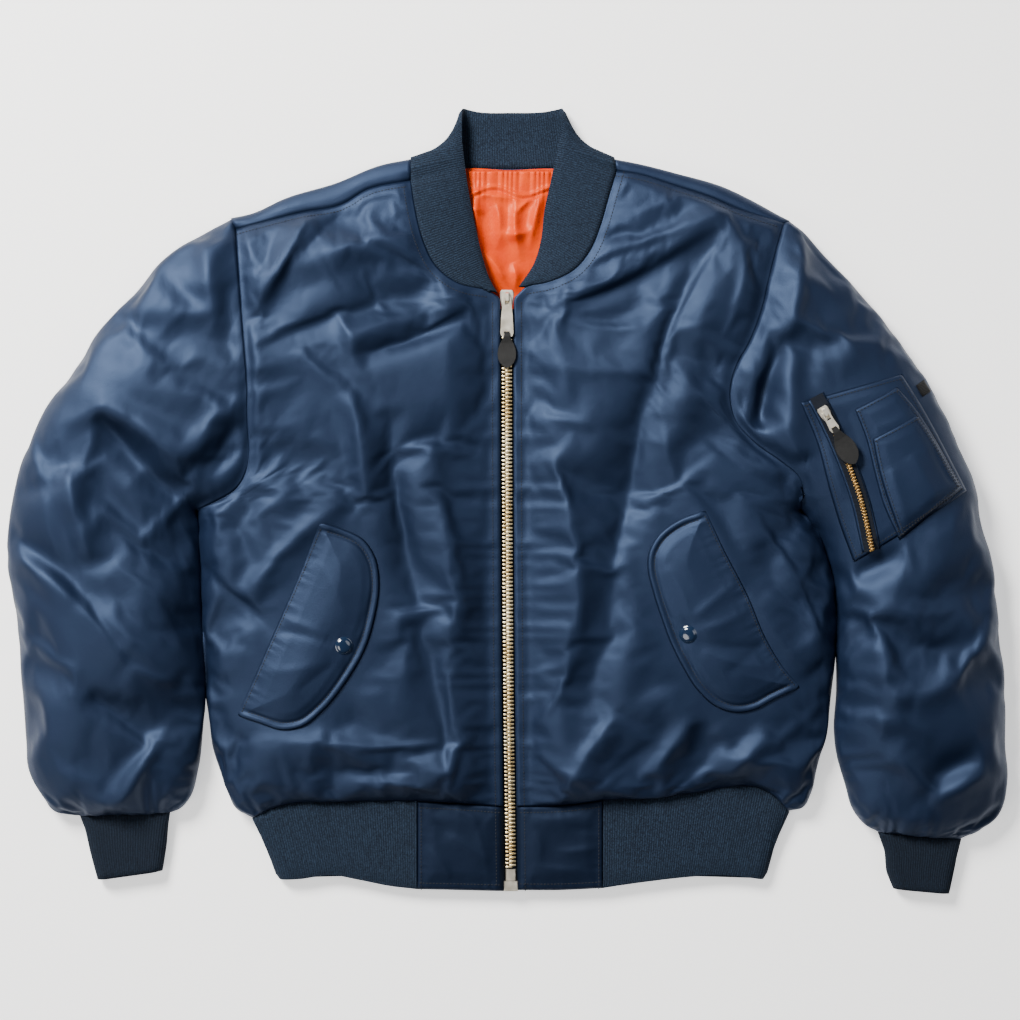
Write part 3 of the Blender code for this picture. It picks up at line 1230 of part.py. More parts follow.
def pocket_zip(base):
    """Tape, closed teeth, slider and pull of the sleeve pocket."""
    steps = np.linspace(0.0, 1, 15)
    middles = spline(POCKET_ZIP, steps)
    along = np.gradient(middles, axis=0)
    square = np.stack([-along[:, 1], along[:, 0]], axis=1)
    square /= np.linalg.norm(square, axis=1)[:, None]
    offsets = np.array((-6.5, -3.2, 0, 3.2, 6.5))
    plan = middles[:, None] + square[:, None] * offsets[None, :, None]
    ground = lay_on(plan, [base, sleeve_left], LAID_GAP)
    tape = sheet("pocket_zip_tape", ground, False, 0.8, TAPE_LOOK)
    bpy.context.view_layer.update()
    chain_plan = middles[3:, None] + square[3:, None] * np.array((-2.6, 0, 2.6))[None, :, None]
    sheet("pocket_zip_chain", lay_on(chain_plan, [tape], SEAM_GAP), False, 2.0, BRASS_LOOK)
    origin, side, down, out = surface_frame(tape, POCKET_SLIDER, POCKET_PULL_DOWN)
    face = origin + out * 3.8
    rows = (
        (-6.5, 4.0, -2.6, -0.1), (-4.5, 5.2, -2.6, 0.0), (2.0, 4.8, -2.6, 0.0),
        (6.0, 3.8, -2.6, -0.1),
    )
    slider("pocket_zip_slider", (face, side, down, out), rows, None, (2.8, 4.4, 2.9))
    frame = (face + out * PIVOT_RISE, side, down, out)
    pull("pocket_pull", frame, 20.0, 4.6, 38.0, 9.6)


def label():
    """Blank woven tab at the pocket's upper corner."""
    turn = math.radians(25)
    axes = np.array(((math.cos(turn), math.sin(turn)), (-math.sin(turn), math.cos(turn))))
    steps = np.linspace(-0.5, 0.5, 5) * LABEL_SIZE
    a, b = np.meshgrid(steps, -steps)
    plan = np.array(LABEL_SPOT) + a[..., None] * axes[0] + b[..., None] * axes[1]
    below = [sleeve_left, pocket_base]
    return sheet("sleeve_label", lay_on(plan, below, SEAM_GAP), False, 0.8, (BLACK, 0.0, 0.7))


# ---------------------------------------------------------------- build
for item in list(bpy.data.objects):
    bpy.data.objects.remove(item)
jacket = bpy.data.collections.new("bomber_jacket")
helpers = bpy.data.collections.new("helpers")
bpy.context.scene.collection.children.link(jacket)
bpy.context.scene.collection.children.link(helpers)

back_panel()
lining_back()
front_right = front(
    "front_right", ARMHOLE_RIGHT, SIDE_RIGHT, NECK_RIGHT, HEM_RIGHT, TAB_TOP_RIGHT,
    SHOULDER_SEAM_RIGHT, -1,
)
front_left = front(
    "front_left", ARMHOLE_LEFT, SIDE_LEFT, NECK_LEFT, HEM_LEFT, TAB_TOP_LEFT,
    SHOULDER_SEAM_LEFT, 1,
)
sleeve_front(
    "right", ARMHOLE_RIGHT, ARM_TURN_RIGHT, TIP_RIGHT, SLEEVE_OUT_RIGHT,
    SLEEVE_IN_RIGHT,
)
sleeve_back(
    "right", ARMHOLE_RIGHT, UNDER_ARM_TURN_RIGHT, TIP_RIGHT, SLEEVE_OUT_RIGHT,
    SLEEVE_IN_RIGHT,
)
sleeve_left = sleeve_front(
    "left", ARMHOLE_LEFT, ARM_TURN_LEFT, TIP_LEFT, SLEEVE_OUT_LEFT, SLEEVE_IN_LEFT
)
sleeve_back(
    "left", ARMHOLE_LEFT, UNDER_ARM_TURN_LEFT, TIP_LEFT, SLEEVE_OUT_LEFT,
    SLEEVE_IN_LEFT,
)
cuff("cuff_right", CUFF_SECTIONS_RIGHT)
cuff("cuff_left", CUFF_SECTIONS_LEFT)
collar()
hem_rib()
hem_tab("hem_tab_right", TAB_TOP_RIGHT, TAB_BOTTOM_RIGHT, -1)
hem_tab("hem_tab_left", TAB_TOP_LEFT, TAB_BOTTOM_LEFT, 1)
zip_tape("zip_tape_right", -1)
zip_tape("zip_tape_left", 1)
zip_chain()
zip_ends()
main_slider_and_pull()
bpy.context.view_layer.update()
flap_right = flap("flap_right", FLAP_BASE_RIGHT, FLAP_EDGE_RIGHT, front_right)
flap_left = flap("flap_left", FLAP_BASE_LEFT, FLAP_EDGE_LEFT, front_left)
pocket_base = pocket_piece(
    "pocket_base", POCKET_LEFT, POCKET_RIGHT, 13, 9, [sleeve_left], PATCH, NYLON_LOOK
)
bpy.context.view_layer.update()
snap("snap_right", SNAP_RIGHT, flap_right)
snap("snap_left", SNAP_LEFT, flap_left)
pen_pocket = pocket_piece(
    "pen_pocket", PEN_LEFT, PEN_RIGHT, 9, 5, [pocket_base, sleeve_left], PATCH, NYLON_LOOK
)
bpy.context.view_layer.update()
pocket_piece(
    "pen_pocket_front", PEN_FRONT_LEFT, PEN_FRONT_RIGHT, 7, 5, [pen_pocket], PATCH, NYLON_LOOK
)
pocket_zip(pocket_base)
label()
bpy.context.view_layer.update()

# The middle of the jacket's footprint becomes the origin.
graph = bpy.context.evaluated_depsgraph_get()
corners = []
for item in jacket.objects:
    shape = item.evaluated_get(graph)
    corners += [shape.matrix_world @ vertex.co for vertex in shape.data.vertices]
low = np.min(np.array(corners), axis=0)
high = np.max(np.array(corners), axis=0)
shift = Vector((-(low[0] + high[0]) / 2, -(low[1] + high[1]) / 2, -low[2]))
for item in list(jacket.objects) + list(helpers.objects):
    item.location += shift
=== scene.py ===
"""Looks of a padded nylon flight jacket, laid flat on its back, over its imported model."""

import math

import bmesh
import bpy
import numpy as np
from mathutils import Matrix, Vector
from mathutils.bvhtree import BVHTree


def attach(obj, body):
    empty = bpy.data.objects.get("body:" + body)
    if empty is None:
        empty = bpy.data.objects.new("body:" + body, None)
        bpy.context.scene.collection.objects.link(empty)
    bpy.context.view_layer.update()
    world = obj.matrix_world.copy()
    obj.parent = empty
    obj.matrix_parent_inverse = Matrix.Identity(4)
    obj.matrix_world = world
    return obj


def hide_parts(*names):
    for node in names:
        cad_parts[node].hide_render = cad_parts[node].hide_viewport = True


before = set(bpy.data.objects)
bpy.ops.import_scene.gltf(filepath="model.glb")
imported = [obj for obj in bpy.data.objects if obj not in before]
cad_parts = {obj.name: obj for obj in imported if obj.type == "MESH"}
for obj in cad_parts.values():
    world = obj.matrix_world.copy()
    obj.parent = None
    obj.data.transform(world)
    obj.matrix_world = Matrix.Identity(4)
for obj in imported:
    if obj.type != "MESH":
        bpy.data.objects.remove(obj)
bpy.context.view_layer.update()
bpy.ops.object.select_all(action="DESELECT")

# ------------------------------------------------------------ right and left front
# Two fronts of satin-faced nylon over thin wadding, cut fuller than the outline that they lie in,
# so they fold between the armhole, neck, side, zip and hem seams that hold them. Lengths in the
# tables are millimetres in plan, and MOVE takes them to the model's origin.
MM = 0.001
MOVE = np.array((1.2827, 0.5))
WALL = 3.0  # thickness of the padded cloth
EDGE = 13.0  # height of the folded edge all round
ROLL = 62.0  # distance from that edge at which the cloth has its full height
BAND_TOP = 15.5  # height of the hem band
CUFF_TOP = 16.5  # height of the sleeve where its cuff begins
BAND_ROLL = 10.0  # the same distance as ROLL, for the knitted bands
ZIP_HALF = 6.2  # half the gap between the fronts
FOLD_FADE = 24.0  # strip along the folded edge in which the folds fade out
SEAM_FADE = 12.0  # and beside a seam
HEM_REACH = 30.0  # strip in which the fronts come down to the hem band
CUFF_REACH = 24.0  # and the sleeves to the cuff
ZIP_FLAT = 12.0  # half width of the level strip along the zip
ZIP_RISE = 45.0  # strip beside it in which the cloth takes up its own height

# Armhole of each side, from the shoulder tip down to the underarm: x, y.
ARMHOLE_RIGHT = (
    (-255.7, 253.8), (-252.9, 223.7), (-250.0, 188.0), (-246.3, 145.7), (-243.5, 108.1),
    (-243.5, 70.5), (-242.5, 44.2), (-245.3, 25.4), (-254.7, 9.4), (-271.7, -0.9),
    (-293.3, -10.3),
)
ARMHOLE_LEFT = (
    (257.6, 259.4), (250.0, 235.0), (242.5, 206.8), (235.9, 178.6), (223.7, 146.6),
    (211.5, 124.1), (205.9, 95.9), (211.5, 73.3), (229.4, 52.6), (253.8, 34.8), (271.7, 18.8),
    (273.5, -10.3),
)

# Side of the body from the underarm to the hem: x, y.
SIDE_RIGHT = (
    (-293.3, -10.3), (-291.4, -47.0), (-289.5, -94.0), (-287.6, -150.4), (-285.8, -178.6),
    (-282.0, -204.9), (-278.2, -233.1), (-271.7, -253.8), (-265.1, -272.6), (-256.6, -289.5),
    (-240.6, -298.9),
)
SIDE_LEFT = (
    (273.5, -10.3), (280.1, -15.0), (290.5, -28.2), (298.9, -51.7), (305.5, -75.2),
    (308.3, -108.1), (307.4, -141.0), (302.7, -183.3), (298.0, -220.9), (289.5, -251.0),
    (283.9, -275.4), (276.4, -288.6), (262.3, -292.3),
)

# Outside fold of each sleeve from the shoulder tip to the cuff: x, y.
SLEEVE_OUT_RIGHT = (
    (-261.3, 265.1), (-282.0, 254.7), (-329.9, 221.8), (-357.2, 188.9), (-390.1, 150.4),
    (-412.7, 117.5), (-435.2, 83.7), (-446.5, 58.3), (-455.0, 38.5), (-464.4, -0.9),
    (-470.0, -37.6), (-470.9, -56.4), (-467.2, -84.6), (-463.4, -121.3), (-458.7, -178.6),
    (-455.9, -223.7), (-451.2, -255.7), (-441.8, -273.5), (-429.6, -291.4), (-403.3, -297.0),
)
SLEEVE_OUT_LEFT = (
    (264.1, 262.3), (273.5, 255.7), (299.9, 227.5), (329.9, 195.5), (356.3, 163.6),
    (379.8, 131.6), (398.6, 102.5), (412.7, 74.3), (427.7, 39.5), (439.0, 15.0), (444.6, -18.8),
    (452.1, -47.9), (457.8, -94.0), (462.5, -131.6), (466.2, -169.2), (468.1, -224.7),
    (468.1, -267.9), (460.6, -296.1), (443.7, -310.2), (424.9, -318.7),
)
# Inside fold of each sleeve from the underarm to the cuff: x, y.
SLEEVE_IN_RIGHT = (
    (-293.3, -10.3), (-290.5, -19.7), (-289.5, -42.3), (-287.6, -94.0), (-284.8, -150.4),
    (-283.9, -178.6), (-286.7, -212.4), (-291.4, -255.7), (-298.9, -279.2), (-309.3, -290.5),
    (-318.7, -293.3),
)
SLEEVE_IN_LEFT = (
    (273.5, -10.3), (275.9, -15.0), (280.6, -19.7), (288.1, -29.1), (297.0, -49.8),
    (303.6, -75.2), (306.4, -108.1), (306.4, -141.0), (306.4, -183.3), (304.1, -216.2),
    (307.4, -242.5), (314.0, -265.1), (323.4, -293.3), (333.7, -304.6), (346.9, -312.1),
)

# Shoulder fold from the tip to the collar, and the shoulder seam in front of it: x, y.
SHOULDER_RIGHT = (
    (-261.3, 265.1), (-243.5, 268.8), (-209.6, 283.9), (-162.6, 298.0), (-120.3, 314.9),
    (-92.1, 320.5),
)
SHOULDER_LEFT = (
    (264.1, 262.3), (258.5, 265.1), (227.5, 282.0), (204.0, 293.3), (156.0, 307.4),
    (123.1, 315.8), (98.7, 320.5),
)
SHOULDER_SEAM_RIGHT = (
    (-255.7, 253.8), (-193.6, 269.8), (-156.0, 277.3), (-134.4, 290.5), (-92.1, 299.9),
)
SHOULDER_SEAM_LEFT = (
    (257.6, 259.4), (213.4, 273.5), (191.8, 282.9), (156.0, 295.2), (123.1, 305.5),
    (100.6, 309.3),
)

# Neck seam of each front, from the shoulder to the zip: x, y.
NECK_RIGHT = (
    (-92.1, 299.9), (-87.4, 270.7), (-80.8, 244.4), (-67.7, 218.1), (-46.1, 202.1),
    (-20.7, 197.4),
)
NECK_LEFT = (
    (100.6, 309.3), (93.1, 283.9), (84.6, 254.7), (76.1, 234.1), (62.0, 216.2), (40.4, 204.9),
    (16.0, 200.2),
)

# Hem seam of each front, from the side to the tab and from the tab to the zip: x, y.
HEM_RIGHT = (
    (-240.6, -298.9), (-224.7, -290.5), (-204.0, -284.8), (-168.3, -283.9), (-127.8, -282.9),
    (-86.5, -282.9),
)
TAB_TOP_RIGHT = ((-86.5, -282.9), (-46.1, -284.8), (-9.4, -287.6))
HEM_LEFT = (
    (262.3, -292.3), (250.0, -279.2), (235.0, -269.8), (209.6, -268.8), (184.2, -273.5),
    (141.9, -278.2), (88.4, -282.0),
)
TAB_TOP_LEFT = ((88.4, -282.0), (47.9, -286.7), (11.3, -287.6))
# Middle of the zip: x, y.
ZIP_LINE = (
    (-1.9, 194.6), (-1.9, 75.2), (-1.4, -56.4), (-0.3, -197.4), (0.9, -287.6), (1.9, -367.5),
)

# Height of the top surface well inside its edges: x, y, height.
CROWNS = (
    (-196.5, 270.7, 27), (-116.6, 291.4, 25), (-102.5, 225.6, 31), (-196.5, 197.4, 36),
    (-154.2, 112.8, 40), (-74.3, 94.0, 36), (-210.6, 18.8, 38), (-102.5, -56.4, 38),
    (-243.5, -94.0, 38), (-168.3, -141.0, 38), (-83.7, -206.8, 36), (-224.7, -225.6, 35),
    (-149.5, -253.8, 33), (123.1, 282.0, 26), (207.7, 244.4, 31), (85.5, 197.4, 31),
    (170.1, 159.8, 38), (85.5, 75.2, 36), (188.9, 47.0, 38), (104.3, -75.2, 38),
    (217.1, -75.2, 38), (141.9, -188.0, 38), (76.1, -225.6, 34), (245.3, -206.8, 35),
    (179.5, -244.4, 32), (-267.0, 220.9, 39), (-328.1, 169.2, 49), (-285.8, 131.6, 48),
    (-375.1, 103.4, 54), (-323.4, 65.8, 54), (-422.1, 28.2, 53), (-365.7, 0.0, 54),
    (-422.1, -56.4, 50), (-370.4, -112.8, 53), (-332.8, -56.4, 48), (-412.7, -169.2, 47),
    (-356.3, -216.2, 45), (-365.7, -267.9, 36), (273.5, 216.2, 41), (320.5, 159.8, 49),
    (287.6, 94.0, 48), (348.7, 94.0, 53), (386.3, 28.2, 53), (339.3, -18.8, 52),
    (395.7, -84.6, 53), (358.1, -150.4, 50), (409.8, -206.8, 48), (395.7, -282.0, 36),
)
CROWN_REACH = 50.0  # how far from such a point its height is felt
# Height along the zip: y, height.
ZIP_HEIGHTS = (
    (200.0, 24.0), (120.0, 24.0), (60.0, 26.5), (-120.0, 27.0), (-200.0, 24.0),
    (-250.0, 19.5), (-287.0, 15.5), (-372.0, 15.5),
)
# Largest folds: start x, y, bend x, y, end x, y, half width, height (a trough is negative).
FOLDS = (
    (-232.2, 188.0, -154.2, 261.3, -74.3, 218.1, 17, 5.5),
    (-247.2, 141.0, -168.3, 171.1, -64.9, 197.4, 14, -5.5),
    (-154.2, 141.0, -102.5, 176.7, -36.7, 188.0, 12, 4.5),
    (-141.9, 129.7, -93.1, 157.9, -36.7, 173.0, 12, -4.5),
    (-147.6, 101.5, -132.5, 65.8, -130.7, 0.0, 12, 4.0),
    (-113.7, 79.9, -100.6, -56.4, -55.5, -230.3, 14, -6.0),
    (-79.0, 56.4, -53.6, -56.4, -38.5, -141.0, 13, 3.5),
    (-243.5, -94.0, -210.6, -32.9, -149.5, 0.0, 11, 4.0),
    (-252.9, -230.3, -149.5, -227.5, -50.8, -258.5, 15, 4.0),
    (-185.2, 277.3, -196.5, 223.7, -241.6, 185.2, 11, 4.0),
    (49.8, 186.1, 123.1, 214.3, 205.9, 265.1, 14, 5.5),
    (203.0, 244.4, 134.4, 169.2, 145.7, 56.4, 13, -5.5),
    (217.1, 244.4, 170.1, 159.8, 165.4, 75.2, 15, 4.0),
    (52.6, 171.1, 104.3, 155.1, 132.5, 188.0, 12, -4.0),
    (130.7, 112.8, 111.9, -18.8, 59.2, -253.8, 17, -6.0),
    (36.7, 47.0, 78.0, -56.4, 49.8, -188.0, 14, 4.0),
    (156.0, 16.9, 212.4, -65.8, 279.2, -161.7, 12, 4.5),
    (228.4, -42.3, 266.0, -103.4, 279.2, -131.6, 11, -4.5),
    (52.6, -272.6, 78.0, -236.9, 104.3, -199.3, 11, 4.5),
    (123.1, -258.5, 153.2, -239.7, 173.9, -202.1, 11, 4.5),
    (200.2, -263.2, 221.8, -236.9, 243.5, -216.2, 11, 4.5),
    (212.4, 112.8, 228.4, 84.6, 245.3, 56.4, 11, -5.0),
    (-282.0, 249.1, -275.4, 206.8, -269.8, 155.1, 11, 4.5),
    (-266.0, 235.0, -260.4, 164.5, -250.0, 108.1, 11, -5.0),
    (-326.2, 210.6, -304.6, 188.0, -269.8, 176.7, 11, -4.5),
    (-380.7, 88.4, -337.5, 77.1, -294.2, 35.7, 12, 5.0),
    (-378.8, 77.1, -354.4, 42.3, -305.5, 0.0, 14, -10.0),
    (-404.2, 30.1, -395.7, -9.4, -387.3, -56.4, 11, 5.5),
    (-384.5, 26.3, -363.8, -4.7, -335.6, -32.9, 13, -7.0),
    (-252.9, 70.5, -258.5, 42.3, -284.8, 26.3, 12, -9.0),
    (-260.4, 86.5, -281.1, 56.4, -299.9, 35.7, 11, 4.5),
    (-459.7, -32.9, -403.3, -70.5, -358.1, -136.3, 12, -5.5),
    (-454.0, -52.6, -389.2, -94.0, -309.3, -167.3, 12, 6.0),
    (-403.3, -180.5, -365.7, -188.0, -323.4, -218.1, 12, -6.5),
    (-329.9, -230.3, -346.9, -258.5, -369.4, -289.5, 11, 4.5),
    (273.5, 244.4, 268.8, 197.4, 260.4, 150.4, 11, 4.5),
    (253.8, 141.0, 232.2, 98.7, 243.5, 67.7, 12, -12.0),
    (266.0, 139.1, 251.0, 103.4, 273.5, 37.6, 11, 6.0),
    (320.5, -71.4, 341.2, -64.9, 369.4, -52.6, 11, -5.5),
    (331.8, -99.6, 352.5, -99.6, 381.6, -109.0, 11, 4.0),
    (331.8, -127.8, 356.3, -150.4, 343.1, -173.0, 11, 4.5),
    (343.1, -178.6, 391.0, -186.1, 446.5, -131.6, 13, 4.0),
    (358.1, -230.3, 378.8, -249.1, 390.1, -270.7, 11, 4.0),
    (391.0, -280.1, 416.4, -265.1, 442.7, -249.1, 12, 5.5),
    (391.0, -261.3, 409.8, -242.5, 435.2, -236.9, 11, -5.5),
)

# Creases between the largest folds: start x, y, bend x, y, end x, y, half width on the left of the
# way from start to end, half width on its right, height. A short half width makes a sharp flank.
CREASES = (
    (-185.2, 276.4, -196.5, 223.7, -232.2, 188.0, 5, 14, 4.0),
    (-150.4, 276.4, -162.6, 262.3, -196.5, 223.7, 12, 4, -3.0),
    (-170.1, 225.6, -128.8, 248.2, -83.7, 244.4, 5, 14, 3.0),
    (-142.9, 244.4, -100.6, 223.7, -65.8, 204.9, 5, 15, -4.0),
    (-241.6, 141.0, -196.5, 167.3, -125.0, 188.9, 13, 5, 4.0),
    (-158.9, 171.1, -147.6, 154.2, -141.9, 135.4, 10, 4, 3.5),
    (-138.2, 135.4, -93.1, 146.6, -27.3, 182.4, 4, 12, -5.0),
    (-191.8, 141.0, -181.4, 114.7, -149.5, 103.4, 5, 9, 3.0),
    (-147.6, 101.5, -134.4, 56.4, -130.7, 0.0, 5, 11, 3.5),
    (-196.5, 56.4, -155.1, 60.2, -162.6, 16.9, 5, 9, 2.5),
    (-102.5, 45.1, -64.9, 52.6, -27.3, 41.4, 4, 10, 2.5),
    (-113.7, 84.6, -106.2, 0.0, -87.4, -103.4, 12, 5, -4.5),
    (-74.3, 56.4, -49.8, -37.6, -36.7, -131.6, 5, 12, 3.0),
    (-243.5, -94.0, -213.4, -35.7, -149.5, -1.9, 5, 12, 3.5),
    (-277.3, -70.5, -247.2, -97.8, -217.1, -124.1, 4, 8, -3.0),
    (-251.0, -26.3, -226.5, -11.3, -196.5, 13.2, 5, 9, 3.0),
    (-284.8, 0.0, -266.0, -11.3, -243.5, -26.3, 5, 8, 2.5),
    (-237.8, -220.9, -149.5, -233.1, -64.9, -227.5, 12, 5, 3.0),
    (-232.2, -253.8, -158.9, -259.4, -83.7, -251.9, 5, 9, -3.0),
    (-196.5, -277.3, -140.1, -259.4, -64.9, -270.7, 6, 6, 2.0),
    (76.1, 223.7, 138.2, 244.4, 219.0, 272.6, 12, 5, 4.0),
    (86.5, 238.8, 102.5, 257.6, 125.0, 244.4, 4, 8, -2.5),
    (119.4, 266.0, 134.4, 274.5, 151.3, 280.1, 4, 7, 2.0),
    (40.4, 176.7, 123.1, 199.3, 204.0, 255.7, 5, 13, -5.0),
    (40.4, 173.0, 78.0, 156.0, 123.1, 159.8, 9, 5, 3.0),
    (210.6, 255.7, 145.7, 171.1, 138.2, 75.2, 14, 4, 5.0),
    (138.2, 94.0, 145.7, 50.8, 157.0, 16.9, 11, 4, 4.0),
    (217.1, 242.5, 222.8, 201.2, 200.2, 150.4, 10, 4, 3.5),
    (33.8, 129.7, 85.5, 114.7, 132.5, 122.2, 5, 8, 2.5),
    (19.7, 84.6, 49.8, 75.2, 78.0, 69.6, 5, 8, 2.5),
    (128.8, 112.8, 119.4, 28.2, 96.8, -65.8, 4, 14, -4.0),
    (36.7, 45.1, 76.1, -37.6, 64.9, -131.6, 5, 12, 3.5),
    (62.0, -141.0, 47.9, -188.0, 17.9, -221.8, 5, 9, 3.0),
    (157.0, 16.9, 198.3, -18.8, 219.0, -84.6, 5, 11, 3.5),
    (219.0, -84.6, 249.1, -122.2, 281.1, -161.7, 5, 9, 3.0),
    (211.5, 5.6, 266.0, -56.4, 290.5, -131.6, 4, 9, 3.5),
    (240.6, -84.6, 273.5, -109.0, 303.6, -141.0, 4, 8, 3.0),
    (179.5, 101.5, 204.0, 56.4, 254.7, 28.2, 5, 8, 3.0),
    (170.1, 75.2, 207.7, 28.2, 269.8, 0.0, 4, 9, -3.5),
    (185.2, 112.8, 215.3, 75.2, 243.5, 47.0, 4, 7, 3.0),
    (52.6, -272.6, 72.4, -231.2, 100.6, -199.3, 5, 10, 3.5),
    (76.1, -268.8, 104.3, -246.3, 132.5, -225.6, 8, 4, -3.0),
    (123.1, -259.4, 149.5, -235.0, 172.0, -201.2, 5, 9, 3.5),
    (160.7, -265.1, 185.2, -248.2, 200.2, -221.8, 8, 4, -2.5),
    (200.2, -264.1, 222.8, -240.6, 245.3, -214.3, 5, 8, 3.0),
    (224.7, -251.9, 251.0, -236.9, 275.4, -253.8, 5, 6, 2.5),
    (245.3, -229.4, 269.8, -208.7, 296.1, -188.0, 5, 8, 2.5),
    (-282.0, 253.8, -277.3, 216.2, -271.7, 176.7, 5, 12, 3.5),
    (-326.2, 210.6, -313.0, 189.9, -298.0, 173.9, 4, 9, 3.0),
    (-298.0, 173.9, -282.9, 173.0, -267.9, 176.7, 8, 4, 2.5),
    (-384.5, 84.6, -365.7, 80.8, -346.9, 71.4, 5, 10, 3.5),
    (-346.9, 71.4, -320.5, 52.6, -294.2, 28.2, 5, 10, 3.5),
    (-380.7, 80.8, -358.1, 50.8, -335.6, 25.4, 4, 12, -5.0),
    (-335.6, 25.4, -320.5, 11.3, -303.6, 0.0, 4, 10, -5.0),
    (-384.5, 82.7, -378.8, 56.4, -384.5, 37.6, 5, 9, 3.5),
    (-384.5, 37.6, -397.6, 32.0, -404.2, 28.2, 5, 8, 2.5),
    (-404.2, 28.2, -399.5, 3.8, -392.0, -20.7, 5, 12, 4.0),
    (-392.0, -20.7, -387.3, -37.6, -384.5, -58.3, 5, 10, 3.0),
    (-440.9, 57.3, -435.2, 33.8, -428.6, 11.3, 5, 10, 3.0),
    (-428.6, 11.3, -422.1, -20.7, -413.6, -54.5, 5, 10, 3.0),
    (-297.0, 105.3, -273.5, 94.0, -252.9, 75.2, 5, 8, 3.0),
    (-254.7, 73.3, -266.0, 50.8, -284.8, 28.2, 4, 10, -5.0),
    (-453.1, -54.5, -442.7, -58.3, -431.5, -63.9, 4, 8, 2.5),
    (-431.5, -63.9, -414.5, -77.1, -397.6, -94.9, 4, 10, 4.0),
    (-397.6, -94.9, -375.1, -122.2, -352.5, -153.2, 4, 10, 4.0),
    (-352.5, -153.2, -331.8, -165.4, -305.5, -169.2, 4, 9, 3.5),
    (-404.2, -188.0, -395.7, -181.4, -386.3, -178.6, 5, 9, 2.5),
    (-386.3, -178.6, -360.0, -199.3, -331.8, -228.4, 4, 9, -3.5),
    (-330.9, -230.3, -346.9, -263.2, -369.4, -292.3, 5, 9, 3.5),
    (-337.5, -220.9, -322.4, -227.5, -305.5, -225.6, 4, 6, 2.5),
    (-335.6, -236.9, -320.5, -235.0, -305.5, -240.6, 3, 6, 2.0),
    (-422.1, -244.4, -403.3, -258.5, -376.9, -263.2, 5, 9, 2.5),
    (-446.5, -131.6, -422.1, -150.4, -392.0, -157.9, 5, 9, 2.5),
    (-375.1, -18.8, -346.9, -42.3, -311.1, -56.4, 5, 10, -3.5),
    (-365.7, -56.4, -337.5, -84.6, -303.6, -99.6, 5, 10, 3.0),
    (-356.3, 159.8, -337.5, 139.1, -313.0, 120.3, 5, 9, 2.5),
    (273.5, 252.9, 277.3, 223.7, 273.5, 203.0, 5, 10, 3.5),
    (273.5, 203.0, 267.9, 182.4, 254.7, 146.6, 5, 10, 3.5),
    (259.4, 172.0, 279.2, 159.8, 307.4, 151.3, 4, 8, 3.0),
    (307.4, 151.3, 328.1, 145.7, 348.7, 142.9, 4, 8, 2.5),
    (254.7, 139.1, 237.8, 103.4, 237.8, 69.6, 3, 7, -9.0),
    (247.2, 144.8, 228.4, 107.2, 224.7, 75.2, 8, 4, 4.0),
    (261.3, 139.1, 247.2, 120.3, 243.5, 101.5, 5, 8, 4.0),
    (243.5, 101.5, 254.7, 65.8, 273.5, 35.7, 5, 9, 4.0),
    (322.4, -67.7, 343.1, -58.3, 365.7, -47.0, 4, 9, -4.0),
    (323.4, -95.9, 341.2, -120.3, 359.1, -150.4, 5, 9, 3.5),
    (359.1, -150.4, 348.7, -157.9, 340.3, -171.1, 4, 8, 3.0),
    (340.3, -192.7, 345.0, -204.9, 350.6, -218.1, 4, 8, 2.5),
    (348.7, -230.3, 352.5, -238.8, 355.3, -246.3, 4, 7, 2.5),
    (341.2, -171.1, 356.3, -180.5, 372.2, -185.2, 4, 10, 3.5),
    (372.2, -185.2, 393.9, -180.5, 410.8, -167.3, 4, 10, 3.5),
    (410.8, -167.3, 431.5, -144.8, 447.4, -114.7, 4, 10, 3.5),
    (351.6, -188.0, 369.4, -206.8, 392.0, -221.8, 4, 9, 3.0),
    (353.4, -230.3, 371.3, -248.2, 388.2, -267.9, 4, 9, 3.0),
    (391.0, -278.2, 414.5, -263.2, 439.0, -249.1, 5, 9, 4.0),
    (391.0, -261.3, 412.7, -248.2, 435.2, -238.8, 5, 8, -4.0),
    (401.4, -289.5, 420.2, -282.0, 438.0, -270.7, 4, 6, 2.0),
    (367.5, -94.0, 395.7, -110.9, 428.6, -94.0, 5, 10, 3.0),
    (372.2, -131.6, 395.7, -141.0, 414.5, -131.6, 5, 10, -2.5),
    (326.2, -105.3, 339.3, -109.0, 352.5, -105.3, 3, 5, 2.0),
    (329.9, -123.1, 343.1, -126.9, 360.0, -122.2, 3, 5, 2.0),
    (331.8, -141.0, 345.0, -143.8, 358.1, -139.1, 3, 5, 2.0),
    (335.6, -162.6, 348.7, -165.4, 363.8, -158.9, 3, 5, 2.0),
    (335.6, -182.4, 348.7, -187.1, 365.7, -180.5, 3, 5, 2.0),
    (337.5, -203.0, 352.5, -207.7, 367.5, -203.0, 3, 5, 2.0),
    (341.2, -223.7, 356.3, -227.5, 371.3, -223.7, 3, 5, 2.0),
    (345.0, -244.4, 358.1, -249.1, 371.3, -242.5, 3, 5, 2.0),
)


def spline(points, steps):
    """Points on a smooth curve through the given ones, at fractions of its length."""
    points = np.array(points, float)
    lengths = np.linalg.norm(np.diff(points, axis=0), axis=1)
    knots = np.concatenate([[0], np.cumsum(lengths)]) / lengths.sum()
    slopes = np.gradient(points, knots, axis=0)
    steps = np.asarray(steps, float)
    index = np.clip(np.searchsorted(knots, steps, side="right") - 1, 0, len(knots) - 2)
    span = (knots[index + 1] - knots[index])[:, None]
    t = (steps - knots[index])[:, None] / span
    first = (1 + 2 * t) * (1 - t) ** 2 * points[index]
    second = t * t * (3 - 2 * t) * points[index + 1]
    leaving = t * (1 - t) ** 2 * span * slopes[index]
    arriving = t * t * (t - 1) * span * slopes[index + 1]
    return first + second + leaving + arriving


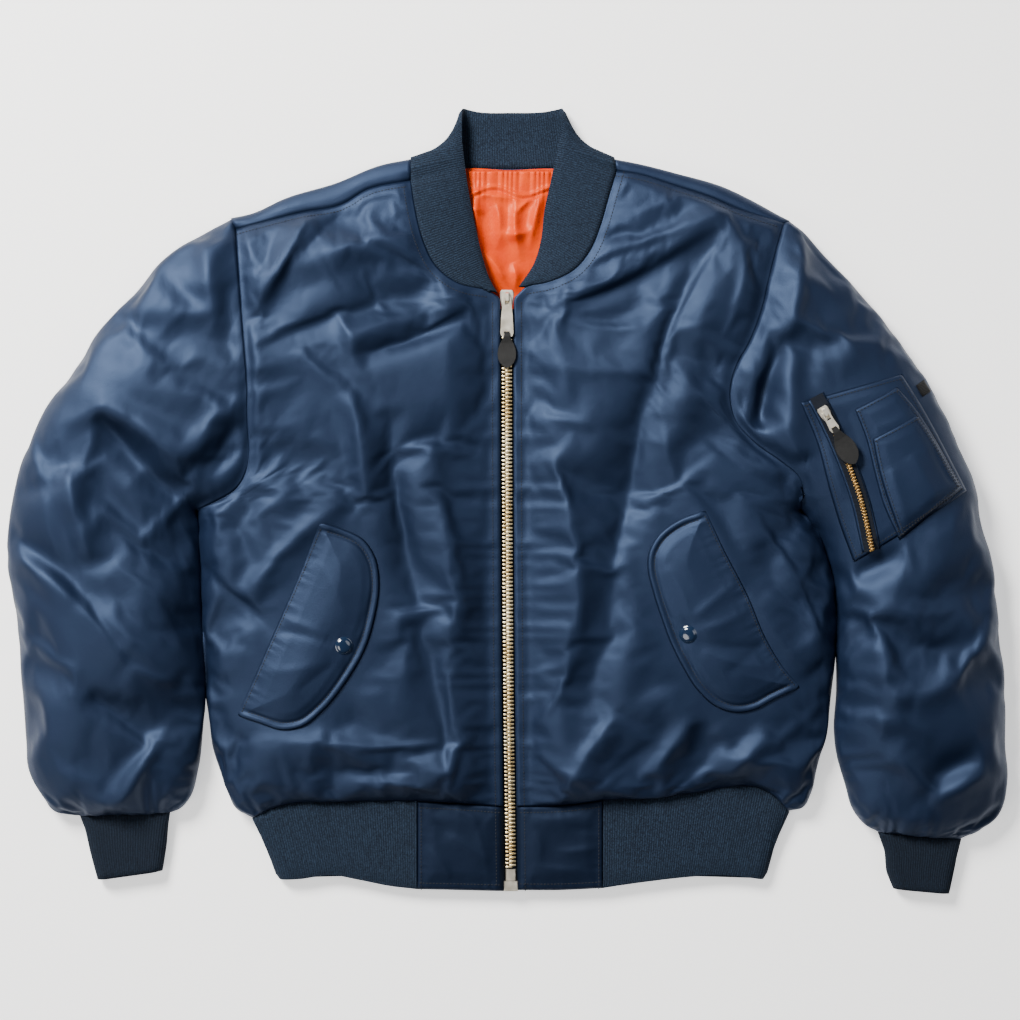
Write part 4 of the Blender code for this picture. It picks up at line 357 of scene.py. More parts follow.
def refined(steps, parts):
    """The same steps, with each gap cut into equal parts."""
    places = np.arange(parts * (len(steps) - 1) + 1) / parts
    return np.interp(places, np.arange(len(steps)), steps)


def nearest(spots, line):
    """Distance to a line of points, how far along it the nearest point is, and on which side."""
    start = line[:-1]
    along = line[1:] - start
    t = ((spots[:, None] - start) * along).sum(2) / (along**2).sum(1)
    t = np.clip(t, 0, 1)
    away = spots[:, None] - start - t[..., None] * along
    gaps = np.linalg.norm(away, axis=2)
    best = gaps.argmin(1)
    rows = np.arange(len(spots))
    turn = along[best, 0] * away[rows, best, 1] - along[best, 1] * away[rows, best, 0]
    return gaps[rows, best], (best + t[rows, best]) / len(start), turn > 0


def roll(t):
    """Quarter circle: upright at 0 and level from 1 on."""
    t = np.clip(t, 0, 1)
    return np.sqrt(1 - (1 - t) ** 2)


def ease(t):
    """Smooth step from 0 to 1."""
    t = np.clip(t, 0, 1)
    return t * t * (3 - 2 * t)


def fine(points):
    """A line of a table, smoothed to three times as many points."""
    return spline(points, np.linspace(0, 1, 3 * len(points)))


SILHOUETTES = [
    fine(line)
    for line in (
        SIDE_RIGHT, SIDE_LEFT, SLEEVE_OUT_RIGHT, SLEEVE_OUT_LEFT, SLEEVE_IN_RIGHT,
        SLEEVE_IN_LEFT, SHOULDER_RIGHT, SHOULDER_LEFT,
    )
]
HEMS = [fine(line) for line in (HEM_RIGHT, TAB_TOP_RIGHT, HEM_LEFT, TAB_TOP_LEFT)]
CUFF_SEAMS = [
    np.array((SLEEVE_OUT_RIGHT[-1], SLEEVE_IN_RIGHT[-1])),
    np.array((SLEEVE_OUT_LEFT[-1], SLEEVE_IN_LEFT[-1])),
]
# Seams that lie in a groove: line, depth, half width.
GROOVES = (
    (fine(ARMHOLE_RIGHT), 4.0, 7.0),
    (fine(ARMHOLE_LEFT), 4.0, 7.0),
    (fine(SHOULDER_SEAM_RIGHT), 2.5, 5.0),
    (fine(SHOULDER_SEAM_LEFT), 2.5, 5.0),
    (fine(NECK_RIGHT), 2.5, 6.0),
    (fine(NECK_LEFT), 2.5, 6.0),
)


def edge_distance(spots):
    """Distance from the nearest folded edge of the body or a sleeve."""
    return np.min([nearest(spots, line)[0] for line in SILHOUETTES], axis=0)


def crown_height(spots):
    """Height of the puffed cloth well inside its edges."""
    table = np.array(CROWNS)
    gaps = np.linalg.norm(spots[:, None] - table[:, :2], axis=2)
    weights = np.exp(-((gaps / CROWN_REACH) ** 2)) + 1e-9
    return (weights * table[:, 2]).sum(1) / weights.sum(1)


def bent(row):
    """Curve of a fold or crease from its start to its end, drawn towards its bend."""
    start, bend, end = (np.array(row[i : i + 2]) for i in (0, 2, 4))
    t = np.linspace(0, 1, 11)[:, None]
    return (1 - t) ** 2 * start + 2 * t * (1 - t) * bend + t * t * end


def taper(along):
    """1 in the middle of a line and 0 at both its ends."""
    return np.clip(np.sin(math.pi * along), 0, 1)


def fold_height(spots, table, reach):
    """Broad folds and sharper creases. Reach is how far each is felt, in its own lengths."""
    total = np.zeros(len(spots))
    for row in table:
        line = bent(row)
        far = reach * np.linalg.norm(line[-1] - line[0])
        near = (np.abs(spots - line.mean(0)).max(1) < far).nonzero()[0]
        if len(near) == 0:
            continue
        gap, along, left = nearest(spots[near], line)
        if len(row) == 8:
            shape = np.exp(-((gap / row[6]) ** 2))
        else:
            shape = crease_shape(gap, left, row)
        total[near] += row[-1] * shape * np.sqrt(taper(along))
    return total


def crease_shape(gap, left, row):
    """Share of a crease's height beside it, where each side has a half width of its own."""
    wide = np.where(left, row[6], row[7])
    return np.exp(0.4 - np.sqrt((gap / wide) ** 2 + 0.16))


def zip_middle(y):
    """Where the middle of the zip runs at each y."""
    line = fine(ZIP_LINE)[::-1]
    return np.interp(y, line[:, 1], line[:, 0])


def zip_height(y):
    table = np.array(ZIP_HEIGHTS)[::-1]
    return np.interp(y, table[:, 0], table[:, 1])


def beside_zip(y, gap):
    """Line beside the middle of the zip, on the left front where the gap is positive."""
    return np.stack([zip_middle(y) + gap, y], axis=1)


def top_height(spots):
    """Height of the garment's upper surface above each spot of the plan."""
    shape = spots.shape[:-1]
    spots = spots.reshape(-1, 2)
    edge = edge_distance(spots)
    height = EDGE + (crown_height(spots) - EDGE) * roll(edge / ROLL)
    seams = [nearest(spots, line)[0] for line, depth, width in GROOVES]
    folds = fold_height(spots, FOLDS + CREASES, 1.0)
    height += folds * ease(edge / FOLD_FADE) * ease((np.min(seams, axis=0) - 1) / SEAM_FADE)
    for gap, (line, depth, width) in zip(seams, GROOVES):
        height -= depth * np.exp(-((gap / width) ** 2)) * ease(edge / 16)
    for lines, level, reach in ((HEMS, BAND_TOP, HEM_REACH), (CUFF_SEAMS, CUFF_TOP, CUFF_REACH)):
        gap = np.min([nearest(spots, line)[0] for line in lines], axis=0)
        floor = EDGE + (level - EDGE) * roll(edge / BAND_ROLL)
        height = floor + (height - floor) * roll(gap / reach)
    beside = np.abs(spots[:, 0] - zip_middle(spots[:, 1]))
    below_neck = spots[:, 1] < ZIP_HEIGHTS[0][0] + 10
    share = np.where(below_neck, 1 - ease((beside - ZIP_FLAT) / ZIP_RISE), 0)
    height += (zip_height(spots[:, 1]) - height) * share
    return height.reshape(shape)


def coons(left, right, top, bottom):
    """Plan of a four-sided panel, in rows that run from its left border to its right one."""
    rows, columns = len(left), len(top)
    v = np.linspace(0, 1, rows)[:, None, None]
    u = np.linspace(0, 1, columns)[None, :, None]
    across = (1 - u) * left[:, None] + u * right[:, None]
    down = (1 - v) * top[None] + v * bottom[None]
    high = (1 - u) * top[0] + u * top[-1]
    low = (1 - u) * bottom[0] + u * bottom[-1]
    return across + down - (1 - v) * high - v * low


def with_height(plan, heights):
    return np.concatenate([plan, heights[..., None]], axis=-1)


def numbered(grid):
    """Number that each point of a grid has in its mesh."""
    rows, columns = grid.shape[:2]
    return np.arange(rows * columns).reshape(rows, columns)


def linked(name, mesh):
    piece = bpy.data.objects.new(name, mesh)
    bpy.context.scene.collection.objects.link(piece)
    return piece


def cloth_piece(name, grid, upwards=True):
    """Smooth mesh of a grid of points, facing up or down."""
    index = numbered(grid)
    quads = (index[:-1, :-1], index[1:, :-1], index[1:, 1:], index[:-1, 1:])
    faces = np.stack([quad.ravel() for quad in quads], axis=1)
    points = grid.reshape(-1, 3).copy()
    points[:, :2] += MOVE
    mesh = bpy.data.meshes.new(name)
    mesh.from_pydata((points * MM).tolist(), [], faces.tolist())
    mesh.update()
    if (sum(face.normal.z * face.area for face in mesh.polygons) > 0) != upwards:
        mesh.flip_normals()
    mesh.shade_smooth()
    return linked(name, mesh)


def places(piece):
    """Where each point of a piece lies, in metres."""
    flat = np.empty(len(piece.data.vertices) * 3)
    piece.data.vertices.foreach_get("co", flat)
    return flat.reshape(-1, 3)


def apply_all(piece):
    bpy.ops.object.select_all(action="DESELECT")
    piece.select_set(True)
    bpy.context.view_layer.objects.active = piece
    for modifier in list(piece.modifiers):
        bpy.ops.object.modifier_apply(modifier=modifier.name)
    piece.select_set(False)


FULLNESS = 0.038  # how much longer the cloth is than the outline that holds it
AIR = 0.5  # pressure under it, which puffs it up
SETTLING = 16  # steps that it is left to settle
FARTHEST = 7.0  # most that a point may move
SEAM_HOLD = 16.0  # strip beside a seam in which it moves less
NYLON_CLOTH = {
    "quality": 5, "mass": 0.1, "tension_stiffness": 20, "compression_stiffness": 20,
    "shear_stiffness": 8, "bending_stiffness": 0.4, "tension_damping": 12,
    "compression_damping": 12, "shear_damping": 8, "bending_damping": 0.5, "air_damping": 3,
    "vertex_group_mass": "sewn", "shrink_min": -FULLNESS, "use_pressure": True,
    "uniform_pressure_force": AIR,
}


def crumple(piece, plan, columns, clear, seams):
    """Cloth that is fuller than its outline buckles between the points where it is sewn down: its
    first and last row, some of its columns and all that isn't clear."""
    index = numbered(plan)
    borders = [index[0], index[-1], *(index[:, column] for column in columns)]
    sewn = np.unique(np.concatenate([*borders, (clear == 0).nonzero()[0]]))
    spots = plan.reshape(-1, 2)
    seam_gap = np.min([nearest(spots, fine(seam))[0] for seam in seams], axis=0)
    free = clear * ease(seam_gap / SEAM_HOLD)
    before = places(piece)
    group = piece.vertex_groups.new(name="sewn")
    group.add([int(i) for i in sewn], 1.0, "REPLACE")
    cloth = piece.modifiers.new("cloth", "CLOTH")
    for setting, value in NYLON_CLOTH.items():
        setattr(cloth.settings, setting, value)
    cloth.settings.effector_weights.gravity = 0
    cloth.collision_settings.use_collision = False
    cloth.point_cache.frame_end = SETTLING
    for step in range(1, SETTLING + 1):
        bpy.context.scene.frame_set(step)
    apply_all(piece)
    after = places(piece)
    moved = after - before
    far = np.linalg.norm(moved, axis=1, keepdims=True)
    limit = FARTHEST * MM
    moved *= free[:, None] * np.tanh(far / limit) * limit / (far + 1e-9)
    piece.data.vertices.foreach_set("co", (before + moved).ravel())
    piece.vertex_groups.clear()
    bpy.context.scene.frame_set(1)


def finish_cloth(piece, thickness, levels=1):
    """Smooths a panel and gives it its wall, whose inner side takes the piece's second material."""
    if levels:
        smooth = piece.modifiers.new("smooth", "SUBSURF")
        smooth.levels = smooth.render_levels = levels
        smooth.boundary_smooth = "PRESERVE_CORNERS"
    wall = piece.modifiers.new("wall", "SOLIDIFY")
    wall.thickness = thickness * MM
    wall.offset = -1.0
    wall.material_offset = 1
    apply_all(piece)
    piece.data.shade_smooth()


# Where a front's sections fall along each of its edges, as fractions of that edge.
ARM_STEPS = (0, 0.09, 0.18, 0.27, 0.36, 0.45, 0.54, 0.63, 0.72, 0.81, 0.90, 0.97, 1)
SIDE_STEPS = (0, 0.04, 0.12, 0.21, 0.30, 0.39, 0.48, 0.57, 0.66, 0.75, 0.84, 0.92, 0.97, 1)
NECK_STEPS = (0, 0.17, 0.34, 0.51, 0.68, 0.85, 1)
ZIP_STEPS = (
    0.012, 0.09, 0.17, 0.25, 0.32, 0.38, 0.43, 0.48, 0.53, 0.58, 0.63, 0.68, 0.73, 0.78, 0.83,
    0.88, 0.92, 0.96, 1,
)
HEM_STEPS = (0, 0.02, 0.06, 0.12, 0.2, 0.3, 0.4, 0.5, 0.6, 0.7, 0.8, 0.9, 1)
TAB_STEPS = (0, 0.17, 0.34, 0.51, 0.68, 0.85, 1)
DOWN_PARTS = 5  # parts that each section is cut into, down a panel
ACROSS_PARTS = 3  # and across it

# Pocket flap of each side: the edge that it hangs from and its loose edge, from the top down.
FLAP_BASE_RIGHT = (
    (-175.8, -22.6), (-196.5, -73.3), (-218.1, -122.2), (-237.8, -167.3), (-252.9, -200.2),
)
FLAP_EDGE_RIGHT = (
    (-173.0, -21.6), (-154.2, -27.3), (-134.4, -37.6), (-124.1, -53.6), (-120.3, -77.1),
    (-124.1, -107.2), (-132.5, -136.3), (-150.4, -168.3), (-173.9, -197.4), (-190.8, -210.6),
    (-209.6, -214.3), (-233.1, -207.7), (-251.0, -202.1),
)
FLAP_BASE_LEFT = (
    (182.4, -10.3), (200.2, -47.9), (220.9, -87.4), (239.7, -130.7), (256.6, -157.9),
    (270.7, -173.9),
)
FLAP_EDGE_LEFT = (
    (179.5, -10.3), (156.0, -19.7), (138.2, -33.8), (129.7, -49.8), (128.8, -63.9),
    (133.5, -84.6), (141.9, -110.9), (150.4, -133.5), (160.7, -154.2), (175.8, -177.7),
    (192.7, -192.7), (210.6, -198.3), (229.4, -195.5), (245.3, -187.1), (269.8, -175.8),
)
FLAT_MARGIN = 3.0  # width of the level strip round a flap or pocket


def within(spots, outline):
    """Whether each spot of the plan lies inside a closed outline."""
    start, end = np.array(outline), np.roll(outline, -1, axis=0)
    x, y = spots[:, None, 0], spots[:, None, 1]
    spans = (start[:, 1] > y) != (end[:, 1] > y)
    rise = np.where(end[:, 1] == start[:, 1], 1e-9, end[:, 1] - start[:, 1])
    cuts = start[:, 0] + (y - start[:, 1]) / rise * (end[:, 0] - start[:, 0])
    return (spans & (x < cuts)).sum(1) % 2 == 1


def closed_line(first, second):
    """Closed outline through two edges that run the same way."""
    line = np.concatenate([fine(first), fine(second)[::-1]])
    return np.concatenate([line, line[:1]])


def clear_of(spots, first, second, fade):
    """0 on and just round a piece that lies on the cloth, and 1 from fade away on. The piece lies
    between two edges that run the same way."""
    outline = closed_line(first, second)
    gap = np.where(within(spots, outline[:-1]), 0.0, nearest(spots, outline)[0])
    return ease((gap - FLAT_MARGIN) / fade)


def length_of(line):
    return np.linalg.norm(np.diff(line, axis=0), axis=1).sum()


def gathers(spots, line, reach, spacing, height):
    """Gathers that start at a seam, at uneven places and of uneven length."""
    gap, along, left = nearest(spots, line)
    run = along * length_of(line)
    turn = 2 * math.pi / spacing
    wave = np.sin(run * turn + 1.7 * np.sin(run * turn * 0.37) + 0.9 * np.sin(run * turn * 0.13))
    uneven = 0.65 + 0.35 * np.sin(run * turn * 0.23 + 1.0)
    length = reach * (0.8 + 0.4 * np.sin(run * turn * 0.31 + 2.0))
    ends = ease(np.minimum(along, 1 - along) / 0.04)
    return height * wave * uneven * ends * np.exp(-gap / length) * ease(gap / 4)


def gathered(spots, seams):
    """Gathers of several seams: the line, reach into the cloth, spacing and height of each."""
    return sum(gathers(spots, *seam) for seam in seams)


def front(name, armhole, side, neck, hem, tab_top, seam, flap, sign):
    """One front: its plan between the seams, its height, the crumpling and the wall."""
    arm = spline(armhole, refined(ARM_STEPS, DOWN_PARTS))
    outer = np.concatenate([arm, spline(side, refined(SIDE_STEPS, DOWN_PARTS))[1:]])
    neck_line = spline(neck, refined(NECK_STEPS, DOWN_PARTS))
    low, high = tab_top[-1][1], ZIP_LINE[0][1]
    y = high + (low - high) * refined(ZIP_STEPS, DOWN_PARTS)
    zip_edge = beside_zip(y, sign * ZIP_HALF)
    share = np.linspace(0, 1, DOWN_PARTS + 1)[1:-1, None]
    corner = neck_line[-1] * (1 - share) + zip_edge[0] * share
    inner = np.concatenate([neck_line, corner, zip_edge])
    hem_line = spline(hem, refined(HEM_STEPS, ACROSS_PARTS))
    bottom = np.concatenate([hem_line, spline(tab_top, refined(TAB_STEPS, ACROSS_PARTS))[1:]])
    bottom[-1] = zip_edge[-1]
    top = spline(seam, np.linspace(0, 1, len(bottom)))
    plan = coons(outer, inner, top, bottom)
    spots = plan.reshape(-1, 2)
    seams = (
        (zip_edge, 15, 15, 2.2), (fine(armhole), 14, 15, 1.4), (fine(hem), 16, 14, 1.6),
        (fine(neck), 10, 13, 0.9),
    )
    clear = clear_of(spots, *flap, 22)
    height = top_height(plan) + (gathered(spots, seams) * clear).reshape(plan.shape[:2])
    piece = cloth_piece(name, with_height(plan, height))
    crumple(piece, plan, (0, -1, -2, -4), clear, (armhole, neck, seam))
    finish_cloth(piece, WALL)
    return piece


front_right = front(
    "right_front", ARMHOLE_RIGHT, SIDE_RIGHT, NECK_RIGHT, HEM_RIGHT, TAB_TOP_RIGHT,
    SHOULDER_SEAM_RIGHT, (FLAP_BASE_RIGHT, FLAP_EDGE_RIGHT), -1,
)
front_left = front(
    "left_front", ARMHOLE_LEFT, SIDE_LEFT, NECK_LEFT, HEM_LEFT, TAB_TOP_LEFT,
    SHOULDER_SEAM_LEFT, (FLAP_BASE_LEFT, FLAP_EDGE_LEFT), 1,
)


# ------------------------------------------------------------ nylon of the shell
# Satin-faced nylon, woven so fine that it shines softly along each fold. The shell's panels, the
# flaps, the sleeve pocket and the hem tabs are all cut from it.
class Value:
    """A shader value that takes Python arithmetic, so that a look reads as its formula."""

    def __init__(self, look, socket):
        self.look = look
        self.socket = socket

    def __add__(self, other):
        return self.look.maths("ADD", self, other)

    def __radd__(self, other):
        return self.look.maths("ADD", other, self)

    def __rmul__(self, other):
        return self.look.maths("MULTIPLY", other, self)


class Look:
    """One material. Its nodes come from here, and constants go on the shader's own sockets."""

    def __init__(self, name, **constants):
        self.material = bpy.data.materials.new(name)
        self.material.use_nodes = True
        self.tree = self.material.node_tree
        self.shader = self.tree.nodes["Principled BSDF"]
        for socket, value in constants.items():
            self.shader.inputs[socket.replace("_", " ")].default_value = value

    def feed(self, socket, value):
        if isinstance(value, Value):
            self.tree.links.new(value.socket, socket)
        else:
            socket.default_value = value

    def node(self, kind, output, sockets, **settings):
        made = self.tree.nodes.new("ShaderNode" + kind)
        for name, value in settings.items():
            setattr(made, name, value)
        for name, value in sockets.items():
            self.feed(made.inputs[name], value)
        return Value(self, made.outputs[output])

    def maths(self, operation, first, second):
        return self.node("Math", 0, {0: first, 1: second}, operation=operation)

    def between(self, share, first, second):
        """Colour that runs from the first to the second."""
        sockets = {0: share, 6: first, 7: second}
        return self.node("Mix", 2, sockets, data_type="RGBA")

    def place(self, stretch=(1, 1, 1)):
        """Object coordinates in metres, stretched."""
        spot = self.node("TexCoord", "Object", {})
        return self.node("Mapping", 0, {"Vector": spot, "Scale": stretch})

    def noise(self, scale, detail=2.0):
        return self.node("TexNoise", 0, {"Vector": self.place(), "Scale": scale, "Detail": detail})

    def cells(self, scale, stretch=(1, 1, 1), **sockets):
        """Small rounded cells, as crinkled cloth and leather have."""
        sockets.update(Vector=self.place(stretch), Scale=scale)
        return self.node("TexVoronoi", "Distance", sockets, feature="SMOOTH_F1")

    def weave(self, scale, direction):
        """Fine stripes, as a woven band has."""
        sockets = {"Vector": self.place(), "Scale": scale}
        return self.node("TexWave", "Fac", sockets, bands_direction=direction)

    def bumps(self, height, distance, strength):
        sockets = {"Height": height, "Distance": distance, "Strength": strength}
        return self.node("Bump", 0, sockets)

    def paint(self, **values):
        for socket, value in values.items():
            self.feed(self.shader.inputs[socket.replace("_", " ")], value)

    def dress(self, *pieces):
        for piece in pieces:
            piece.data.materials.clear()
            piece.data.materials.append(self.material)


def ramp(value, low, high):
    """0 below low, 1 above high and even between them."""
    made = value.look.tree.nodes.new("ShaderNodeMapRange")
    made.inputs["From Min"].default_value = low
    made.inputs["From Max"].default_value = high
    value.look.tree.links.new(value.socket, made.inputs["Value"])
    return Value(value.look, made.outputs[0])


NYLON_SHINE = (0.36, 0.53, 0.92, 1)
nylon = Look("navy_nylon", Specular_IOR_Level=0.64, Specular_Tint=NYLON_SHINE)
cloudy = ramp(nylon.noise(9.0), 0.3, 0.7)
crinkle = nylon.cells(34.0, (1, 0.7, 1), Smoothness=0.35)
surface = 0.5 * nylon.noise(60.0, 3.0) + 0.4 * crinkle + 0.2 * nylon.noise(1500.0, 1.0)
nylon.paint(
    Base_Color=nylon.between(cloudy, (0.0016, 0.0042, 0.0140, 1), (0.0025, 0.0060, 0.0185, 1)),
    Roughness=0.50 + 0.10 * nylon.noise(60.0, 3.0),
    Normal=nylon.bumps(surface, 0.001, 0.7),
)
nylon.dress(front_right, front_left)
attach(front_right, "jacket")
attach(front_left, "jacket")
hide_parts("front_right")
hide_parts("front_left")

# ------------------------------------------------------------ sleeves
# Each sleeve is one tube of the same padded nylon, sewn into the armhole and gathered into its
# cuff. It lies flattened, so it has a fold down its outside and one down its inside.
TIP_PARTS = 4  # points from the shoulder's tip to its armhole
# Tip of each shoulder, and the step of its armhole where the sleeve's top ends and its inside
# begins: x, y.
TIP_RIGHT = (-261.3, 265.1)
TIP_LEFT = (264.1, 262.3)
ARM_TURN_RIGHT = 8
ARM_TURN_LEFT = 7
# Where a sleeve's sections fall along its outside and its inside, as fractions of each.
OUTSIDE_STEPS = (
    0, 0.055, 0.11, 0.165, 0.22, 0.28, 0.33, 0.38, 0.43, 0.48, 0.53, 0.58, 0.63, 0.68, 0.73,
    0.78, 0.83, 0.88, 0.93, 0.965, 0.985, 1,
)
INSIDE_STEPS = (
    0, 0.05, 0.12, 0.19, 0.26, 0.33, 0.40, 0.47, 0.54, 0.60, 0.66, 0.72, 0.78, 0.84, 0.90,
    0.94, 0.97, 1,
)


def under_height(spots):
    """Height of the underside: on the floor, and curving up to the folded edge."""
    shape = spots.shape[:-1]
    edge = edge_distance(spots.reshape(-1, 2))
    return (EDGE * (1 - roll(edge / EDGE))).reshape(shape)


def from_tip(tip, arm):
    """Points from the shoulder's tip to just before the top of the armhole."""
    share = np.linspace(0, 1, TIP_PARTS + 1)[:-1, None]
    return np.array(tip) * (1 - share) + arm[0] * share


def matched(line, steps, count):
    """Points along a line at as many steps as the other side of the panel has."""
    across = np.linspace(0, len(steps) - 1, count)
    return spline(line, np.interp(across, range(len(steps)), steps))


def sewn_together(name, grids, downwards):
    """One mesh of several grids that share borders, with the faces of each turned outwards."""
    pieces = [cloth_piece(name, grid, not down) for grid, down in zip(grids, downwards)]
    bpy.ops.object.select_all(action="DESELECT")
    for piece in pieces:
        piece.select_set(True)
    bpy.context.view_layer.objects.active = pieces[0]
    bpy.ops.object.join()
    bpy.ops.object.mode_set(mode="EDIT")
    bpy.ops.mesh.select_all(action="SELECT")
    bpy.ops.mesh.remove_doubles(threshold=0.02 * MM)
    bpy.ops.object.mode_set(mode="OBJECT")
    pieces[0].select_set(False)
    return pieces[0]


# Corners of the pocket on the left sleeve: the cloth lies flat under it.
POCKET_LEFT = ((269.8, 90.2), (283.9, 56.4), (297.0, 9.4), (309.3, -28.2), (320.5, -58.3))
POCKET_RIGHT = ((364.7, 116.6), (383.5, 86.5), (401.4, 54.5), (414.5, 30.1), (425.8, 8.5))


def sleeve(name, armhole, turn, tip, outer, inner, pocket):
    """One sleeve: the half that shows, crumpled, and the half on the floor, joined to a tube."""
    line = spline(armhole, refined(ARM_STEPS, DOWN_PARTS))
    turn *= DOWN_PARTS
    top = np.concatenate([from_tip(tip, line), line[: turn + 1]])
    inside = spline(inner, refined(INSIDE_STEPS, 4))
    right = np.concatenate([line[turn:], inside[1:]])
    left = matched(outer, OUTSIDE_STEPS, len(right))
    even = np.linspace(0, 1, len(top))
    bottom = spline((outer[-1], inner[-1]), 0.7 * even + 0.3 * ease(even))
    plan = coons(left, right, top, bottom)
    spots = plan.reshape(-1, 2)
    seams = ((fine(armhole), 16, 16, 1.6), (bottom, 22, 12, 2.2), (inside, 22, 17, 2.0))
    clear = clear_of(spots, *pocket, 20) if pocket else np.ones(len(spots))
    height = top_height(plan) + (gathered(spots, seams) * clear).reshape(plan.shape[:2])
    upper = with_height(plan, height)
    lower = with_height(plan, under_height(plan))
    folded = len(line) - 1 - turn
    for grid in (upper, lower):
        grid[:, 0, 2] = EDGE
        grid[folded:, -1, 2] = EDGE
    panel = cloth_piece(name, upper)
    crumple(panel, plan, (0, -1), clear, (armhole,))
    upper = (places(panel) / MM).reshape(upper.shape)
    upper[..., :2] -= MOVE
    bpy.data.objects.remove(panel)
    piece = sewn_together(name, (upper, lower), (False, True))
    finish_cloth(piece, WALL)
    points = places(piece)
    points[:, 2] = np.maximum(points[:, 2], 0)
    piece.data.vertices.foreach_set("co", points.ravel())
    return piece


sleeve_right = sleeve(
    "right_sleeve", ARMHOLE_RIGHT, ARM_TURN_RIGHT, TIP_RIGHT, SLEEVE_OUT_RIGHT, SLEEVE_IN_RIGHT,
    None,
)
sleeve_left = sleeve(
    "left_sleeve", ARMHOLE_LEFT, ARM_TURN_LEFT, TIP_LEFT, SLEEVE_OUT_LEFT, SLEEVE_IN_LEFT,
    (POCKET_LEFT, POCKET_RIGHT),
)
for piece, side in ((sleeve_right, "right"), (sleeve_left, "left")):
    nylon.dress(piece)
    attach(piece, "jacket")
    lengths = ("front_upper", "front_elbow", "front_lower", "back_upper", "back_lower")
    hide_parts(*(f"sleeve_{side}_{length}" for length in lengths))

# ------------------------------------------------------------ back
# One panel of the same nylon. It lies on the floor, meets the fronts at the side seams and comes
# forward over each shoulder to the seam there.
SHOULDER_STEPS = (0, 0.1, 0.22, 0.34, 0.46, 0.58, 0.7, 0.82, 0.92, 1)
NECK_BACK_STEPS = (0, 0.08, 0.28, 0.5, 0.72, 0.92, 1)
BACK_HEM_STEPS = (0, 0.007, 0.024, 0.05, 0.09, 0.135, 0.185, 0.235, 0.285, 0.335, 0.39, 0.445, 0.5)
# Hem of the back from side to side, and the neck seam behind: x, y.
HEM_BACK = (
    (-240.6, -298.9), (-210.6, -290.5), (-158.9, -287.6), (0.0, -287.6), (170.1, -287.6),
    (235.9, -289.5), (262.3, -292.3),
)
NECK_BACK = (
    (-92.1, 320.5), (-74.3, 316.8), (-41.4, 314.0), (0.9, 313.0), (45.1, 314.0), (80.8, 316.8),
    (98.7, 320.5),
)
# Folds of the underside, lifted off the floor: as in the table of the largest folds.
BACK_FOLDS = (
    (-215.0, 120.0, -120.0, 60.0, -40.0, 75.0, 9, 2.6),
    (-190.0, -60.0, -110.0, -20.0, -20.0, -48.0, 11, 2.2),
    (-235.0, -190.0, -150.0, -150.0, -60.0, -190.0, 9, 2.8),
    (-120.0, -262.0, -98.0, -215.0, -105.0, -160.0, 8, 2.4),
    (30.0, 190.0, 110.0, 150.0, 195.0, 170.0, 10, 2.4),
    (60.0, 40.0, 140.0, 66.0, 225.0, 20.0, 9, 2.8),
    (20.0, -120.0, 130.0, -100.0, 250.0, -150.0, 12, 2.2),
    (90.0, -262.0, 112.0, -210.0, 150.0, -180.0, 8, 2.6),
    (200.0, -255.0, 205.0, -215.0, 240.0, -190.0, 7, 2.2),
    (-20.0, -255.0, -12.0, -225.0, -30.0, -190.0, 7, 1.8),
)


def back():
    """The panel on the floor and the two strips that come forward over the shoulders."""
    sides = []
    for armhole, side, tip in (
        (ARMHOLE_RIGHT, SIDE_RIGHT, TIP_RIGHT),
        (ARMHOLE_LEFT, SIDE_LEFT, TIP_LEFT),
    ):
        arm = spline(armhole, refined(ARM_STEPS, DOWN_PARTS))
        down = spline(side, refined(SIDE_STEPS, DOWN_PARTS))
        sides.append(np.concatenate([from_tip(tip, arm), arm, down[1:]]))
    shoulder_steps = refined(SHOULDER_STEPS, 4)
    fold_right = spline(SHOULDER_RIGHT, shoulder_steps)
    fold_left = spline(SHOULDER_LEFT, shoulder_steps)
    neck = spline(NECK_BACK, refined(NECK_BACK_STEPS, 5))
    top = np.concatenate([fold_right, neck[1:-1], fold_left[::-1]])
    half = refined(BACK_HEM_STEPS, 4)
    hem = np.concatenate([half, 1 - half[-2::-1]])
    hem = np.interp(np.linspace(0, 1, len(top)), np.linspace(0, 1, len(hem)), hem)
    plan = coons(sides[0], sides[1], top, spline(HEM_BACK, hem))
    height = under_height(plan)
    for row in BACK_FOLDS:
        gap, along, left = nearest(plan.reshape(-1, 2), bent(row))
        lift = row[7] * np.exp(-((gap / row[6]) ** 2)) * taper(along)
        height += lift.reshape(height.shape)
    grid = with_height(plan, height)
    first = TIP_PARTS + len(arm) - 1
    grid[first:, 0, 2] = EDGE
    grid[first:, -1, 2] = EDGE
    grids = [grid]
    count = len(fold_right)
    for fold, seam, columns in (
        (fold_right, SHOULDER_SEAM_RIGHT, slice(0, count)),
        (fold_left, SHOULDER_SEAM_LEFT, slice(-1, -count - 1, -1)),
    ):
        grid[0, columns, 2] = EDGE
        line = spline(seam, shoulder_steps)
        rise = np.linspace(0, 1, 9)[:, None, None] ** 1.5
        strip = fold * (1 - rise) + line * rise
        raised = with_height(strip, top_height(strip))
        raised[0, :, 2] = EDGE
        grids.append(raised)
    piece = sewn_together("back", grids, (True, False, False))
    finish_cloth(piece, WALL, 0)
    return piece


back_piece = back()
nylon.dress(back_piece)
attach(back_piece, "jacket")
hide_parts("back_upper", "back_chest", "back_waist")

